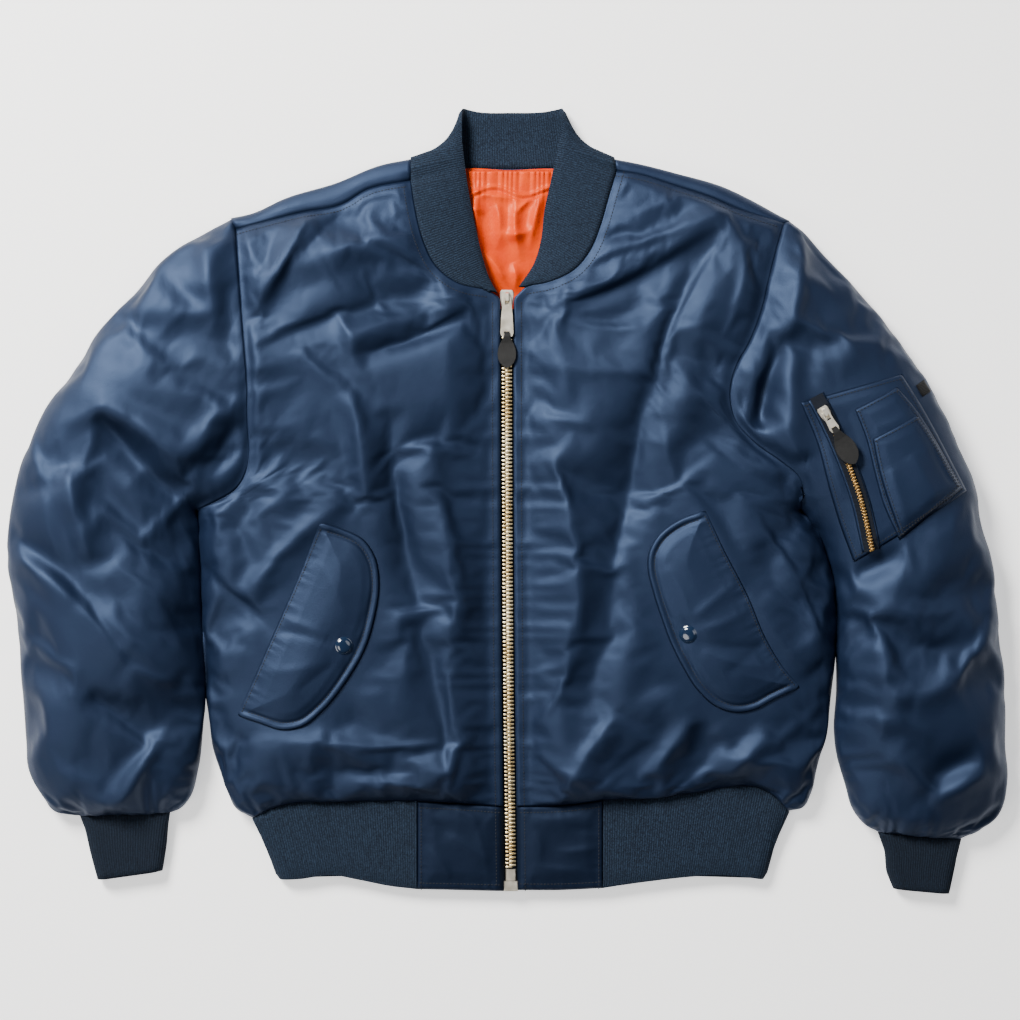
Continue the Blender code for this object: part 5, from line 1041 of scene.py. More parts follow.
# ------------------------------------------------------------ lining
# Thin orange nylon, gathered into the neck seam at the back and hanging in soft folds. It shows
# inside the neck, and faces every inner side of the shell.
LINING = 1.0  # its thickness
LINING_LEVEL = 5.3  # its height above the floor
PLEAT_LEVEL = 5.7  # and where it shows
PLEATED = 0.4  # and its thickness there
NECK_TOP = 311.0  # y of the neck seam behind
NECK_BOTTOM = 190.0  # y at which the lining goes out of sight
# Sides of the panel, and its upper and lower edge: x, y.
LINING_RIGHT = (
    (-78.0, 299.9), (-196.5, 261.3), (-232.2, 240.6), (-226.5, 159.8), (-224.7, 47.0),
    (-256.6, -14.1), (-269.8, -56.4), (-266.0, -178.6), (-254.7, -244.4), (-222.8, -279.2),
)
LINING_LEFT = (
    (83.7, 299.9), (179.5, 269.8), (224.7, 246.3), (219.0, 169.2), (190.8, 94.0), (247.2, 0.0),
    (279.2, -56.4), (284.8, -178.6), (273.5, -244.4), (243.5, -279.2),
)
LINING_NECK = ((-78.0, 299.9), (-55.5, 310.2), (0.9, 311.1), (57.3, 310.2), (83.7, 299.9))
LINING_HEM = ((-222.8, -279.2), (0.9, -282.0), (243.5, -279.2))
# Soft folds inside the neck: as in the table of the largest folds.
LINING_FOLDS = (
    (-29.1, 300.8, -36.7, 258.5, -19.7, 202.1, 5, 5.5),
    (-16.0, 285.8, -3.8, 267.9, -11.3, 235.0, 6, 5.0),
    (10.3, 291.4, 0.0, 261.3, 12.2, 223.7, 6, 6.0),
    (33.8, 295.2, 23.5, 270.7, 19.7, 235.0, 5, 5.0),
    (-36.7, 293.3, -16.0, 282.0, 10.3, 285.8, 4, 3.5),
    (-8.5, 251.9, 6.6, 244.4, 22.6, 255.7, 5, 4.5),
    (-25.4, 235.0, -10.3, 223.7, -0.9, 197.4, 5, 4.5),
    (-44.2, 272.6, -32.9, 276.4, -21.6, 268.8, 4, 3.0),
    (2.8, 223.7, 10.3, 210.6, 2.8, 188.0, 5, 4.0),
    (24.4, 285.8, 14.1, 280.1, 6.6, 268.8, 3, 3.0),
)


def lining():
    """The whole panel, level, between the back and the fronts."""
    sides = [spline(line, np.linspace(0, 1, 41)) for line in (LINING_RIGHT, LINING_LEFT)]
    ends = [spline(line, np.linspace(0, 1, 31)) for line in (LINING_NECK, LINING_HEM)]
    plan = coons(*sides, *ends)
    piece = cloth_piece("lining", with_height(plan, np.full(plan.shape[:2], LINING_LEVEL)))
    finish_cloth(piece, LINING, 0)
    return piece


def lining_neck():
    """The part that shows: fine pleats under the neck seam, and big soft folds below them."""
    x, y = np.meshgrid(np.linspace(-50, 50, 121), np.linspace(NECK_TOP, NECK_BOTTOM, 131))
    under = NECK_TOP - y
    rise = ease((y - NECK_BOTTOM) / 25) * ease((under + 0.5) / 3)
    height = PLEAT_LEVEL + 3.0 * rise
    spots = np.stack([x, y], axis=-1)
    for row in LINING_FOLDS:
        gap, along, left = nearest(spots.reshape(-1, 2), bent(row))
        lift = row[7] * np.exp(-((gap / row[6]) ** 1.6)) * taper(along)
        height += lift.reshape(height.shape) * rise
    pleats = np.abs(np.sin(x * 0.52 + 1.3 * np.sin(x * 0.21) + 0.02 * under))
    height += 2.2 * pleats * np.exp(-under / 14) * ease(under / 3)
    below_hem = under - 4 * np.sin(x / 9.0)
    height += 1.3 * np.exp(-(((below_hem - 20) / 1.8) ** 2)) * (np.abs(x - 2) < 40)
    height -= 1.2 * np.exp(-(((below_hem - 24) / 1.6) ** 2))
    height = np.maximum(height, PLEAT_LEVEL - 0.2)
    piece = cloth_piece("lining_at_neck", with_height(spots, height))
    finish_cloth(piece, PLEATED, 0)
    return piece


lining_piece = lining()
neck_piece = lining_neck()
orange = Look(
    "orange_lining", Roughness=0.40, Specular_IOR_Level=0.35, Specular_Tint=(1.0, 0.45, 0.25, 1)
)
soft = ramp(orange.noise(60.0), 0.3, 0.7)
orange.paint(
    Base_Color=orange.between(soft, (0.56, 0.034, 0.0005, 1), (0.70, 0.056, 0.0010, 1)),
    Normal=orange.bumps(orange.noise(160.0, 3.0), 0.0006, 0.7),
)
orange.dress(lining_piece, neck_piece)
for piece in (front_right, front_left, sleeve_right, sleeve_left, back_piece):
    piece.data.materials.append(orange.material)
for piece in (lining_piece, neck_piece):
    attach(piece, "jacket")
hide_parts("lining_back")
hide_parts("lining_back")

# ------------------------------------------------------------ knitted collar
# Doubled rib knit in a darker, duller navy. Its ribs run across the band, from the seam to the
# folded free edge.
KNIT = 3.5  # thickness of the doubled knit
RIB_PITCH = 2.35  # distance from rib to rib
RIB_HEIGHT = 0.55
RIB_PROFILE = (-1.0, 0.35, 1.0, 0.35)  # from the valley over the crest, as a share of half of it
LOWEST = 0.05  # what lies on the floor stays this far above it
SEAM_DROP = 1.0  # how far the collar is tucked under the cloth at its seam
# Free edge of the collar in front, opposite each neck seam: x, y.
COLLAR_EDGE_RIGHT = (
    (-44.2, 338.4), (-39.5, 300.8), (-31.0, 254.7), (-23.5, 223.7), (-17.9, 206.8),
    (-10.3, 193.6),
)
COLLAR_EDGE_LEFT = (
    (48.9, 347.8), (44.2, 324.3), (39.5, 300.8), (32.9, 269.8), (30.1, 244.4), (23.5, 221.8),
    (8.9, 199.3),
)
# Its free edge round the back of the neck: x, y, height.
COLLAR_TURN = (
    (-44.2, 356.3, 16.5), (-43.7, 368.9, 8.5), (-41.8, 369.4, 3.0), (-32.9, 367.1, 0.5),
    (2.8, 365.7, 0.5), (37.6, 367.1, 0.5), (48.4, 369.4, 3.0), (50.3, 368.9, 8.5),
    (49.8, 359.1, 16.5),
)


def evenly(line, count):
    """A line of points resampled at equal lengths."""
    lengths = np.concatenate([[0], np.cumsum(np.linalg.norm(np.diff(line, axis=0), axis=1))])
    at = np.linspace(0, lengths[-1], count)
    return np.stack([np.interp(at, lengths, column) for column in line.T], axis=1)


def face_out(mesh):
    """Turns the faces of a closed mesh outwards."""
    shape = bmesh.new()
    shape.from_mesh(mesh)
    bmesh.ops.recalc_face_normals(shape, faces=shape.faces)
    if shape.calc_volume(signed=True) < 0:
        bmesh.ops.reverse_faces(shape, faces=shape.faces)
    shape.to_mesh(mesh)
    shape.free()


def mark_ribs(piece, marks):
    """Keeps how high on its rib each point lies, 0 deep between ribs and 1 at the top; the knit
    paints shade by it.
    """
    layer = piece.data.attributes.new("rib", "FLOAT", "POINT")
    layer.data.foreach_set("value", np.asarray(marks, float).ravel())


def ribbed(name, seam, free, rows, thickness, arch=0.0):
    """A doubled knit band between two lines: out over the face, round the fold and back behind."""
    width = max(length_of(seam), length_of(free))
    count = len(RIB_PROFILE) * int(width / RIB_PITCH) + 1
    seam, free = evenly(seam, count), evenly(free, count)
    across = np.linspace(0, 1, rows)[None, :, None]
    middle = (1 - across) * seam[:, None] + across * free[:, None]
    along = np.gradient(middle, axis=0)
    over = np.gradient(middle, axis=1)
    up = np.cross(along, over)
    up /= np.linalg.norm(up, axis=-1, keepdims=True)
    if up[count // 8, rows // 2, 2] < 0:
        up = -up
    share = np.linspace(0, 1, rows)
    reach = np.linalg.norm(free - seam, axis=1)[:, None]
    to_edge = np.clip((1 - share)[None] * reach / (thickness / 2), 0, 1)
    half = thickness / 2 * np.sqrt(1 - (1 - to_edge) ** 2)
    rib = np.tile(RIB_PROFILE, count)[:count]
    ribs = RIB_HEIGHT * rib[:, None] * np.clip(to_edge, 0.25, 1) / 2
    swell = arch * np.sin(math.pi * share)[None]
    face = middle + up * (half + ribs + swell)[..., None]
    behind = middle - up * (half + ribs * 0.5 - swell)[..., None]
    ring = np.concatenate([face, behind[:, ::-1]], axis=1)
    index = numbered(ring)
    ahead = np.roll(index, -1, axis=1)
    quads = np.stack([index[:-1], index[1:], ahead[1:], ahead[:-1]], axis=-1).reshape(-1, 4)
    ends = [tuple(index[0]), tuple(index[-1][::-1])]
    points = ring.reshape(-1, 3).copy()
    points[:, :2] += MOVE
    points[:, 2] = np.maximum(points[:, 2], LOWEST)
    mesh = bpy.data.meshes.new(name)
    mesh.from_pydata((points * MM).tolist(), [], quads.tolist() + ends)
    face_out(mesh)
    mesh.shade_smooth()
    piece = linked(name, mesh)
    mark_ribs(piece, np.repeat(0.5 + 0.5 * rib, ring.shape[1]))
    return piece


def collar():
    """The band from one end of the zip round the neck to the other."""
    steps = np.linspace(0, 1, 19)
    seams, edges = [], []
    for neck, edge, fold, line in (
        (NECK_RIGHT, COLLAR_EDGE_RIGHT, SHOULDER_RIGHT, SHOULDER_SEAM_RIGHT),
        (NECK_LEFT, COLLAR_EDGE_LEFT, SHOULDER_LEFT, SHOULDER_SEAM_LEFT),
    ):
        halfway = np.array([fold[-1]]) * 0.55 + np.array([line[-1]]) * 0.45
        for spots in (spline(neck, steps), halfway):
            seams.append(with_height(spots, top_height(spots) - SEAM_DROP))
        edges.append(with_height(spline(edge, steps), 17.0 + 6.0 * steps**3))
    behind = spline(NECK_BACK, steps)
    behind = with_height(behind, under_height(behind))
    behind[[0, -1], 2] = EDGE
    turn = spline(COLLAR_TURN, np.linspace(0, 1, 21))
    seam = np.concatenate([seams[0][::-1], seams[1], behind, seams[3], seams[2]])
    free = np.concatenate([edges[0][::-1], turn, edges[1]])
    seam[:, 2] = np.maximum(seam[:, 2], KNIT / 2)
    free[:, 2] = np.maximum(free[:, 2], KNIT / 2)
    return ribbed("knit_collar", seam, free, 13, KNIT, arch=1.6)


def rib_knit(name, dark, light):
    """Wool-like rib knit of two mixed yarns, with painted shade in the valleys between its ribs."""
    look = Look(
        name, Roughness=0.9, Specular_IOR_Level=0.2, Sheen_Weight=0.05, Sheen_Roughness=0.5,
        Sheen_Tint=(0.35, 0.5, 0.75, 1),
    )
    heather = ramp(look.noise(800.0, 3.0), 0.38, 0.66)
    rib_shade_mask = look.node("Attribute", "Fac", {}, attribute_name="rib")
    # Painted shade: the yarn's colour is darkened towards the bottom between the ribs.
    painted_valley_shade = (0.0012, 0.0026, 0.0055, 1)
    look.paint(
        Base_Color=look.between(0.4 + 0.6 * rib_shade_mask, painted_valley_shade, look.between(heather, dark, light)),
        Normal=look.bumps(look.noise(1500.0, 2.0), 0.0004, 0.6),
    )
    return look


knit = rib_knit("navy_rib_knit", (0.0036, 0.0078, 0.0170, 1), (0.0150, 0.0290, 0.0540, 1))
collar_piece = collar()
knit.dress(collar_piece)
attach(collar_piece, "jacket")
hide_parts("collar")

# ------------------------------------------------------------ cuffs
# Tubes of the same rib knit, doubled, with the fold at the wrist. They lie flattened and are sewn
# to the gathered end of each sleeve.
RIB_EDGE = 8.0  # height of the folded edge of a knitted band
CUFF_RIBS = 68
CUFF_INSIDE = KNIT - 0.6  # how far the inner layer lies behind the outer one
# Sections from the seam to the wrist: start x, y, end x, y, height and the edges' height.
CUFF_SECTIONS_RIGHT = (
    (-403.3, -297.0, -318.7, -293.3, CUFF_TOP, EDGE),
    (-398.6, -309.3, -320.5, -304.6, CUFF_TOP, 11.5),
    (-393.9, -331.8, -322.4, -324.3, 16.0, 9.0),
    (-387.3, -357.2, -326.2, -348.7, 15.5, RIB_EDGE),
)
CUFF_SECTIONS_LEFT = (
    (346.9, -312.1, 424.9, -318.7, CUFF_TOP, EDGE),
    (353.4, -329.9, 421.1, -335.6, CUFF_TOP, 11.5),
    (355.3, -349.7, 418.3, -351.6, 16.0, 9.0),
    (361.9, -365.7, 414.5, -370.4, 15.5, RIB_EDGE),
)


def flat_ring(row, count):
    """Flattened tube seen end on: level below, round at both folds and crowned on top."""
    start, end, top, edge = np.array(row[0:2]), np.array(row[2:4]), row[4], row[5]
    width = np.linalg.norm(end - start)
    over = width * (0.5 - 0.5 * np.cos(np.linspace(0, math.pi, 41)))
    near = np.minimum(over, width - over)
    rise = edge + (top - edge) * roll(near / BAND_ROLL)
    drop = edge * (1 - roll(near / edge)) + 0.3
    ring_over = np.concatenate([over, over[-2:0:-1]])
    heights = np.concatenate([rise, drop[-2:0:-1]])
    ring = with_height(start + ring_over[:, None] / width * (end - start), heights)
    return evenly(np.concatenate([ring, ring[:1]]), count + 1)[:-1]


def cuff(name, sections):
    """A tube: its outer layer with the ribs, the turned edge at the wrist and its inner layer."""
    last = len(sections) - 1
    steps = np.linspace(0, last, 15)
    table = np.array(sections)
    rows = [[np.interp(step, range(last + 1), column) for column in table.T] for step in steps]
    rib = np.tile(RIB_PROFILE, CUFF_RIBS)
    rings = np.array([flat_ring(row, len(rib)) for row in rows])
    after, before = np.roll(rings, -1, axis=1), np.roll(rings, 1, axis=1)
    down = np.gradient(rings, axis=0)
    out = np.cross(after - before, down)
    out /= np.linalg.norm(out, axis=-1, keepdims=True)
    if out[7, 60, 2] < 0:
        out = -out
    fade = np.clip((last - steps) / 0.25, 0.0, 1.0)
    shift = RIB_HEIGHT / 2 * rib[None] * (0.4 + 0.6 * fade[:, None])
    outer = rings + out * shift[..., None]
    tucked = rings[-1] - out[-1] * KNIT / 2
    tucked[:, :2] += (rings[-1] - rings[-2])[:, :2] * 0.12
    inner = (rings - out * CUFF_INSIDE)[::-1]
    rolls = np.concatenate([outer, tucked[None], inner])
    rolls[..., 2] = np.maximum(rolls[..., 2], LOWEST)
    rolls = np.concatenate([rolls, rolls[:, :1]], axis=1)
    piece = cloth_piece(name, rolls)
    mark_ribs(piece, np.tile(np.append(rib, rib[0]) * 0.5 + 0.5, len(rolls)))
    shape = bmesh.new()
    shape.from_mesh(piece.data)
    bmesh.ops.remove_doubles(shape, verts=shape.verts, dist=0.01 * MM)
    bmesh.ops.bridge_loops(shape, edges=[edge for edge in shape.edges if edge.is_boundary])
    shape.to_mesh(piece.data)
    shape.free()
    face_out(piece.data)
    return piece


# The cuffs take a darker copy of the collar's knit: painted shade that makes them read darker than
# the collar.
shaded_cuff_knit = rib_knit("shaded_cuff_knit", (0.0020, 0.0044, 0.0098, 1), (0.0075, 0.0150, 0.0290, 1))
CUFFS = (("cuff_right", CUFF_SECTIONS_RIGHT, 0.0098), ("cuff_left", CUFF_SECTIONS_LEFT, 0.0084))
for name, sections, area in CUFFS:
    piece = cuff("knit_" + name, sections)
    shaded_cuff_knit.dress(piece)
    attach(piece, "jacket")
    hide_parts(name)

# ------------------------------------------------------------ hem band
# Rib knit from one zip tab round the back to the other, its ribs running up and down. It is
# doubled, and its fold is the jacket's lower edge.
HEM_MIDDLE = 6.5  # height between its lower and its upper half
# Bottom of the band in front and behind: x, y.
BAND_RIGHT = (
    (-216.2, -357.2), (-196.5, -356.3), (-168.3, -352.5), (-140.1, -357.2), (-111.9, -362.8),
    (-86.5, -365.7),
)
BAND_LEFT = (
    (239.7, -357.2), (228.4, -355.3), (201.2, -352.5), (167.3, -354.4), (141.9, -357.2),
    (100.6, -362.8), (88.4, -364.7),
)
BAND_BACK = (
    (-216.2, -357.2), (-158.9, -355.3), (0.0, -361.0), (170.1, -355.3), (239.7, -357.2),
)


def band_border(right, behind, left, edge):
    """Border of the band from tab to tab: over its front, round each fold and along the floor."""
    parts = []
    for line in (right, behind, left):
        line = spline(line, np.linspace(0, 1, 61))
        gap = np.linalg.norm(line - line[0], axis=1)
        level = edge + (BAND_TOP - edge) * roll(gap / BAND_ROLL)
        if len(parts) == 1:
            level = edge * (1 - roll(np.minimum(gap, gap[::-1]) / edge))
        parts.append(with_height(line, level))
    border = np.concatenate([parts[0][::-1], parts[1][1:-1], parts[2]])
    border[:, 2] += np.where(border[:, 2] > HEM_MIDDLE, -KNIT / 2, KNIT / 2)
    return border


high = band_border(HEM_RIGHT, HEM_BACK, HEM_LEFT, EDGE)
low = band_border(BAND_RIGHT, BAND_BACK, BAND_LEFT, RIB_EDGE)
hem_piece = ribbed("knit_hem", high, low, 11, KNIT)
knit.dress(hem_piece)
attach(hem_piece, "jacket")
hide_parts("hem_rib")

# ------------------------------------------------------------ hem tabs
# The hem band ends in a tab of folded nylon on each side of the zip. It is sewn to the front
# above, to the band beside it and to the zip, and stitched round.
KNIT_DROP = 1.6  # how far the edge of a tab lies below its face
TAB_BOTTOM_RIGHT = ((-86.5, -365.7), (-46.1, -366.6), (-9.4, -367.5))
TAB_BOTTOM_LEFT = ((88.4, -364.7), (47.9, -366.6), (11.3, -366.6))


def tab(name, top_line, bottom_line, sign, folds):
    share = np.linspace(0, 1, 41)
    top, bottom = spline(top_line, share), spline(bottom_line, share)
    for line in (top, bottom):
        line[-1, 0] = zip_middle(line[-1, 1]) + sign * ZIP_HALF
    share = share[:, None]
    left = (1 - share) * top[0] + share * bottom[0]
    right = (1 - share) * top[-1] + share * bottom[-1]
    plan = coons(left, right, top, bottom)
    spots = plan.reshape(-1, 2)
    outline = np.concatenate([top, right[1:], bottom[-2::-1], left[-2::-1]])
    gap = nearest(spots, outline)[0]
    height = BAND_TOP - KNIT_DROP + KNIT_DROP * roll(gap / 3) + 1.8 * ease((gap - 4) / 14)
    for row in folds:
        gap_to, along, left_side = nearest(spots, bent(row))
        height += row[8] * crease_shape(gap_to, left_side, row) * taper(along) * ease(gap / 8)
    for line, spacing in ((top, 14), (bottom, 13), (left, 11), (right, 12)):
        height += gathers(spots, line, 7, spacing, 0.7)
    piece = cloth_piece(name, with_height(plan, height.reshape(plan.shape[:2])))
    finish_cloth(piece, WALL, 0)
    return piece


# Small creases of each tab: as in the table of the creases.
TAB_FOLDS_RIGHT = (
    (-64.9, -284.8, -44.2, -289.5, -25.4, -302.7, 3, 7, 2.2),
    (-57.3, -310.2, -40.4, -325.2, -17.9, -340.3, 3, 7, 1.8),
    (-79.9, -325.2, -59.2, -338.4, -53.6, -357.2, 3, 6, 1.4),
    (-76.1, -300.8, -59.2, -306.4, -53.6, -317.7, 3, 5, -1.2),
    (-36.7, -293.3, -23.5, -319.6, -19.7, -349.7, 3, 6, 1.2),
)
TAB_FOLDS_LEFT = (
    (43.2, -329.0, 64.9, -330.9, 85.5, -325.2, 3, 6, 1.8),
    (19.7, -296.1, 40.4, -302.7, 76.1, -293.3, 3, 7, 1.6),
    (21.6, -340.3, 44.2, -349.7, 70.5, -345.9, 3, 6, 1.4),
    (25.4, -308.3, 32.9, -323.4, 27.3, -342.2, 3, 6, 1.2),
    (53.6, -306.4, 70.5, -312.1, 83.7, -306.4, 3, 5, -1.0),
)
# The tabs take a darker, duller copy of the shell's nylon: painted shade, for tabs that face away
# from the light.
shaded_tab_nylon = Look(
    "shaded_tab_nylon", Roughness=0.6, Base_Color=(0.0012, 0.0030, 0.0095, 1), Specular_IOR_Level=0.36,
    Specular_Tint=NYLON_SHINE,
)
shaded_tab_nylon.paint(Normal=shaded_tab_nylon.bumps(shaded_tab_nylon.noise(60.0, 3.0), 0.001, 0.5))
tab_right = tab("tab_right", TAB_TOP_RIGHT, TAB_BOTTOM_RIGHT, -1, TAB_FOLDS_RIGHT)
tab_left = tab("tab_left", TAB_TOP_LEFT, TAB_BOTTOM_LEFT, 1, TAB_FOLDS_LEFT)
for piece, side in ((tab_right, "right"), (tab_left, "left")):
    shaded_tab_nylon.dress(piece)
    piece.data.materials.append(shaded_tab_nylon.material)
    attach(piece, "jacket")
    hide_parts(f"hem_tab_{side}")

# ------------------------------------------------------------ main zip
# Separating metal zip with brass teeth clamped on the edges of two woven tapes, a nickel slider and
# pull tab, a leather tongue on the tab, and a nickel pin and box at the bottom.
TOOTH_PITCH = 3.6
TOOTH_CUT = 0.45  # how far its corners are cut
TEETH_TOP = 179.0
TEETH_END = -345.5
TAPE_END = -358.0
TAPE_DROP = 3.7  # how far the tape lies below the top of the teeth
TAPE = 0.7  # its thickness
TAPE_CORD = 2.0  # where the cord in its edge lies, from the middle


def placed(seat, points):
    """Points of a small shape in a seat: an origin and three directions."""
    origin, side, down, out = (np.array(part, float) for part in seat)
    points = np.asarray(points, float)
    return origin + points[..., :1] * side + points[..., 1:2] * down + points[..., 2:3] * out


def copies(name, points, faces, seats):
    """One mesh of the same small shape in each of the seats."""
    count = len(points)
    everywhere = np.concatenate([placed(seat, points) for seat in seats])
    everywhere[:, :2] += MOVE
    groups = [tuple(i + count * k for i in face) for k in range(len(seats)) for face in faces]
    mesh = bpy.data.meshes.new(name)
    mesh.from_pydata((everywhere * MM).tolist(), [], groups)
    face_out(mesh)
    mesh.shade_smooth()
    mesh.set_sharp_from_angle(angle=math.radians(50))
    return linked(name, mesh)


def ring_faces(count, around):
    """Faces of a closed shape built of rings, with both ends capped."""
    faces = []
    for i in range(count - 1):
        this, next_one = i * around, (i + 1) * around
        for j in range(around):
            k = (j + 1) % around
            faces.append((this + j, this + k, next_one + k, next_one + j))
    faces.append(tuple(range(around))[::-1])
    faces.append(tuple((count - 1) * around + j for j in range(around)))
    return faces


def octagon(half, low, high, cut):
    """Eight points round a bar: along the zip and up."""
    inner = half - cut
    return (
        (-half, low + cut), (-half, high - cut), (-inner, high), (inner, high),
        (half, high - cut), (half, low + cut), (inner, low), (-inner, low),
    )


def tooth(pitch, width, low, high):
    """Tooth of one side: a clamp on the tape that narrows to a rounded head over the middle. Rows:
    distance from the middle, half length as a share of the pitch, and how much lower it is."""
    rows = (
        (width, 0.25, 0.4), (width - 0.35, 0.28, 0.0), (1.9, 0.28, 0.0), (1.2, 0.24, 0.0),
        (-0.5, 0.24, 0.0), (-1.3, 0.19, 0.4),
    )
    points = []
    for across, wide, down in rows:
        section = octagon(wide * pitch, low + down, high - down, TOOTH_CUT)
        points += [(across, along, up) for along, up in section]
    return np.array(points), ring_faces(len(rows), 8)


def on_zip(y):
    """Point of the zip's middle, at the top of its teeth."""
    return np.array((float(zip_middle(y)), y, float(zip_height(y))))


seats = []
y = TEETH_TOP
side = 1.0
while y > TEETH_END:
    middle, ahead = on_zip(y), on_zip(y - 4)
    down = (ahead - middle) / np.linalg.norm(ahead - middle)
    seats.append((middle, (side, 0.0, 0.0), down, (0.0, -down[2], -down[1])))
    y -= TOOTH_PITCH / 2
    side = -side
teeth = copies("zip_teeth", *tooth(TOOTH_PITCH, 4.9, -4.4, -0.6), seats)
brass = Look("brass_teeth", Metallic=1.0)
worn = ramp(brass.noise(30.0), 0.35, 0.65)
brass.paint(
    Base_Color=brass.between(worn, (0.66, 0.50, 0.25, 1), (0.90, 0.79, 0.54, 1)),
    Roughness=0.32 + 0.14 * brass.noise(400.0),
)
brass.dress(teeth)
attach(teeth, "jacket")
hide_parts("zip_chain")


def tape(name, sign):
    """Woven tape: its edge meets the other one under the teeth, and the front is sewn over it."""
    y = np.linspace(TEETH_TOP, TAPE_END, 121)
    offsets = np.array((0.15, TAPE_CORD, 3.6, 5.2, 9.0, 13.0, 17.0))
    plan = np.stack([beside_zip(y, sign * offset) for offset in offsets], axis=1)
    cord = 0.5 * np.exp(-(((offsets - TAPE_CORD) / 1.2) ** 2))
    piece = cloth_piece(name, with_height(plan, zip_height(y)[:, None] - TAPE_DROP + cord))
    finish_cloth(piece, TAPE, 0)
    return piece


tape_cloth = Look("zip_tape", Roughness=0.8, Specular_IOR_Level=0.2)
weave = tape_cloth.weave(260.0, "Y")
tape_cloth.paint(
    Base_Color=tape_cloth.between(weave, (0.0012, 0.0025, 0.0060, 1), (0.0030, 0.0060, 0.0130, 1)),
    Normal=tape_cloth.bumps(weave, 0.0004, 0.6),
)
nickel = Look("nickel", Metallic=1.0)
handled = nickel.noise(120.0, 3.0)
dull, bright = (0.74, 0.68, 0.56, 1), (0.92, 0.87, 0.76, 1)
nickel.paint(
    Base_Color=nickel.between(ramp(handled, 0.3, 0.7), dull, bright),
    Roughness=0.34 + 0.16 * handled,
)
leather = Look("black_leather", Roughness=0.46, Specular_IOR_Level=0.3)
dark, light = (0.008, 0.008, 0.008, 1), (0.018, 0.018, 0.018, 1)
leather.paint(
    Base_Color=leather.between(leather.noise(200.0), dark, light),
    Normal=leather.bumps(leather.cells(1400.0), 0.00025, 0.5),
)
for side, sign in (("right", -1), ("left", 1)):
    piece = tape("tape_" + side, sign)
    tape_cloth.dress(piece)
    piece.data.materials.append(tape_cloth.material)
    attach(piece, "jacket")
    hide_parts("zip_tape_" + side)
    side + "_front"
for node in (
    "zip_pin", "zip_box", "zip_slider", "main_pull_tab", "pocket_zip_slider", "pocket_pull_tab",
):
    nickel.dress(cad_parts[node])
for node in ("main_pull_leather", "pocket_pull_leather"):
    leather.dress(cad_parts[node])

# ------------------------------------------------------------ pocket flaps
# Padded flap over each slanted pocket: its edge is turned and stitched all round, it is sewn on
# along its straight side and closed with a press stud.
PAD_STITCH = 6.6  # distance of a flap's stitching from its loose edge
PAD_EVENING = 12  # rounds that even out the cloth under a pad
HIGHEST = 0.3  # height in metres from which the search for the cloth below starts


def tree_of(*pieces):
    """Search tree of the outer surfaces of some pieces."""
    points, faces, count = [], [], 0
    for piece in pieces:
        points += [piece.matrix_world @ vertex.co for vertex in piece.data.vertices]
        faces += [[count + i for i in face.vertices] for face in piece.data.polygons]
        count = len(points)
    return BVHTree.FromPolygons(points, faces)


def on_top(spots, tree):
    """Point of the surface below each spot of the plan, in the plan's own millimetres, and its
    normal."""
    found, normals = [], []
    for x, y in np.asarray(spots) + MOVE:
        above = Vector((x * MM, y * MM, HIGHEST))
        spot, normal, index, gap = tree.ray_cast(above, Vector((0, 0, -1)))
        found.append(spot / MM if spot else Vector((x, y, 0.0)))
        normals.append(normal if spot and normal.z > 0 else Vector((0, 0, 1)))
    found = np.array(found)
    found[:, :2] -= MOVE
    return found, np.array(normals)


def relaxed(grid, rounds):
    """The same grid of numbers, evened out, with its border kept."""
    grid = grid.copy()
    for _ in range(rounds):
        inner = grid[:-2, 1:-1] + grid[2:, 1:-1] + grid[1:-1, :-2] + grid[1:-1, 2:]
        grid[1:-1, 1:-1] = 0.5 * grid[1:-1, 1:-1] + 0.125 * inner
    return grid


def pad(name, left, right, rows, columns, tree, shape, lift=0.4):
    """Closed pad that lies on a surface: shape gives its thickness from place and edge distance."""
    steps = np.linspace(0, 1, rows)
    across = np.linspace(0, 1, columns)[None, :, None]
    start, end = spline(left, steps)[:, None], spline(right, steps)[:, None]
    plan = (1 - across) * start + across * end
    spots = plan.reshape(-1, 2)
    ground = on_top(spots, tree)[0][:, 2].reshape(rows, columns)
    ground = relaxed(ground, PAD_EVENING) + lift
    border = np.concatenate([plan[0], plan[1:, -1], plan[-1, -2::-1], plan[-2::-1, 0]])
    gap = nearest(spots, border)[0]
    thick = shape(spots, gap).reshape(rows, columns)
    thick[0] = thick[-1] = 0
    thick[:, 0] = thick[:, -1] = 0
    upper = with_height(plan, ground + thick)
    lower = with_height(plan, ground)
    piece = sewn_together(name, (upper, lower), (False, True))
    piece.data.shade_smooth()
    return piece


# Small creases of each flap: as in the table of the creases. Then the middle of each stud: x, y.
FLAP_CREASES_RIGHT = (
    (-218.1, -122.2, -191.8, -122.2, -162.6, -134.4, 6, 3, -1.8),
    (-211.5, -110.9, -190.8, -114.7, -168.3, -127.8, 4, 7, 1.5),
    (-232.2, -157.9, -200.2, -161.7, -168.3, -150.4, 5, 8, 1.3),
    (-179.5, -56.4, -158.9, -75.2, -149.5, -112.8, 6, 8, 1.2),
    (-196.5, -178.6, -181.4, -165.4, -160.7, -150.4, 4, 6, -1.2),
)
FLAP_CREASES_LEFT = (
    (166.4, -112.8, 188.9, -94.0, 213.4, -75.2, 4, 7, 1.8),
    (170.1, -122.2, 196.5, -118.4, 224.7, -99.6, 4, 7, 1.8),
    (173.9, -129.7, 202.1, -141.0, 243.5, -135.4, 4, 7, -1.6),
    (179.5, -141.0, 207.7, -154.2, 247.2, -154.2, 4, 7, 1.4),
    (145.7, -62.0, 164.5, -84.6, 168.3, -110.9, 5, 7, 1.4),
    (200.2, -161.7, 219.0, -150.4, 237.8, -131.6, 4, 6, -1.2),
)
SNAP_RIGHT = (-153.2, -135.4)
SNAP_LEFT = (166.4, -125.0)


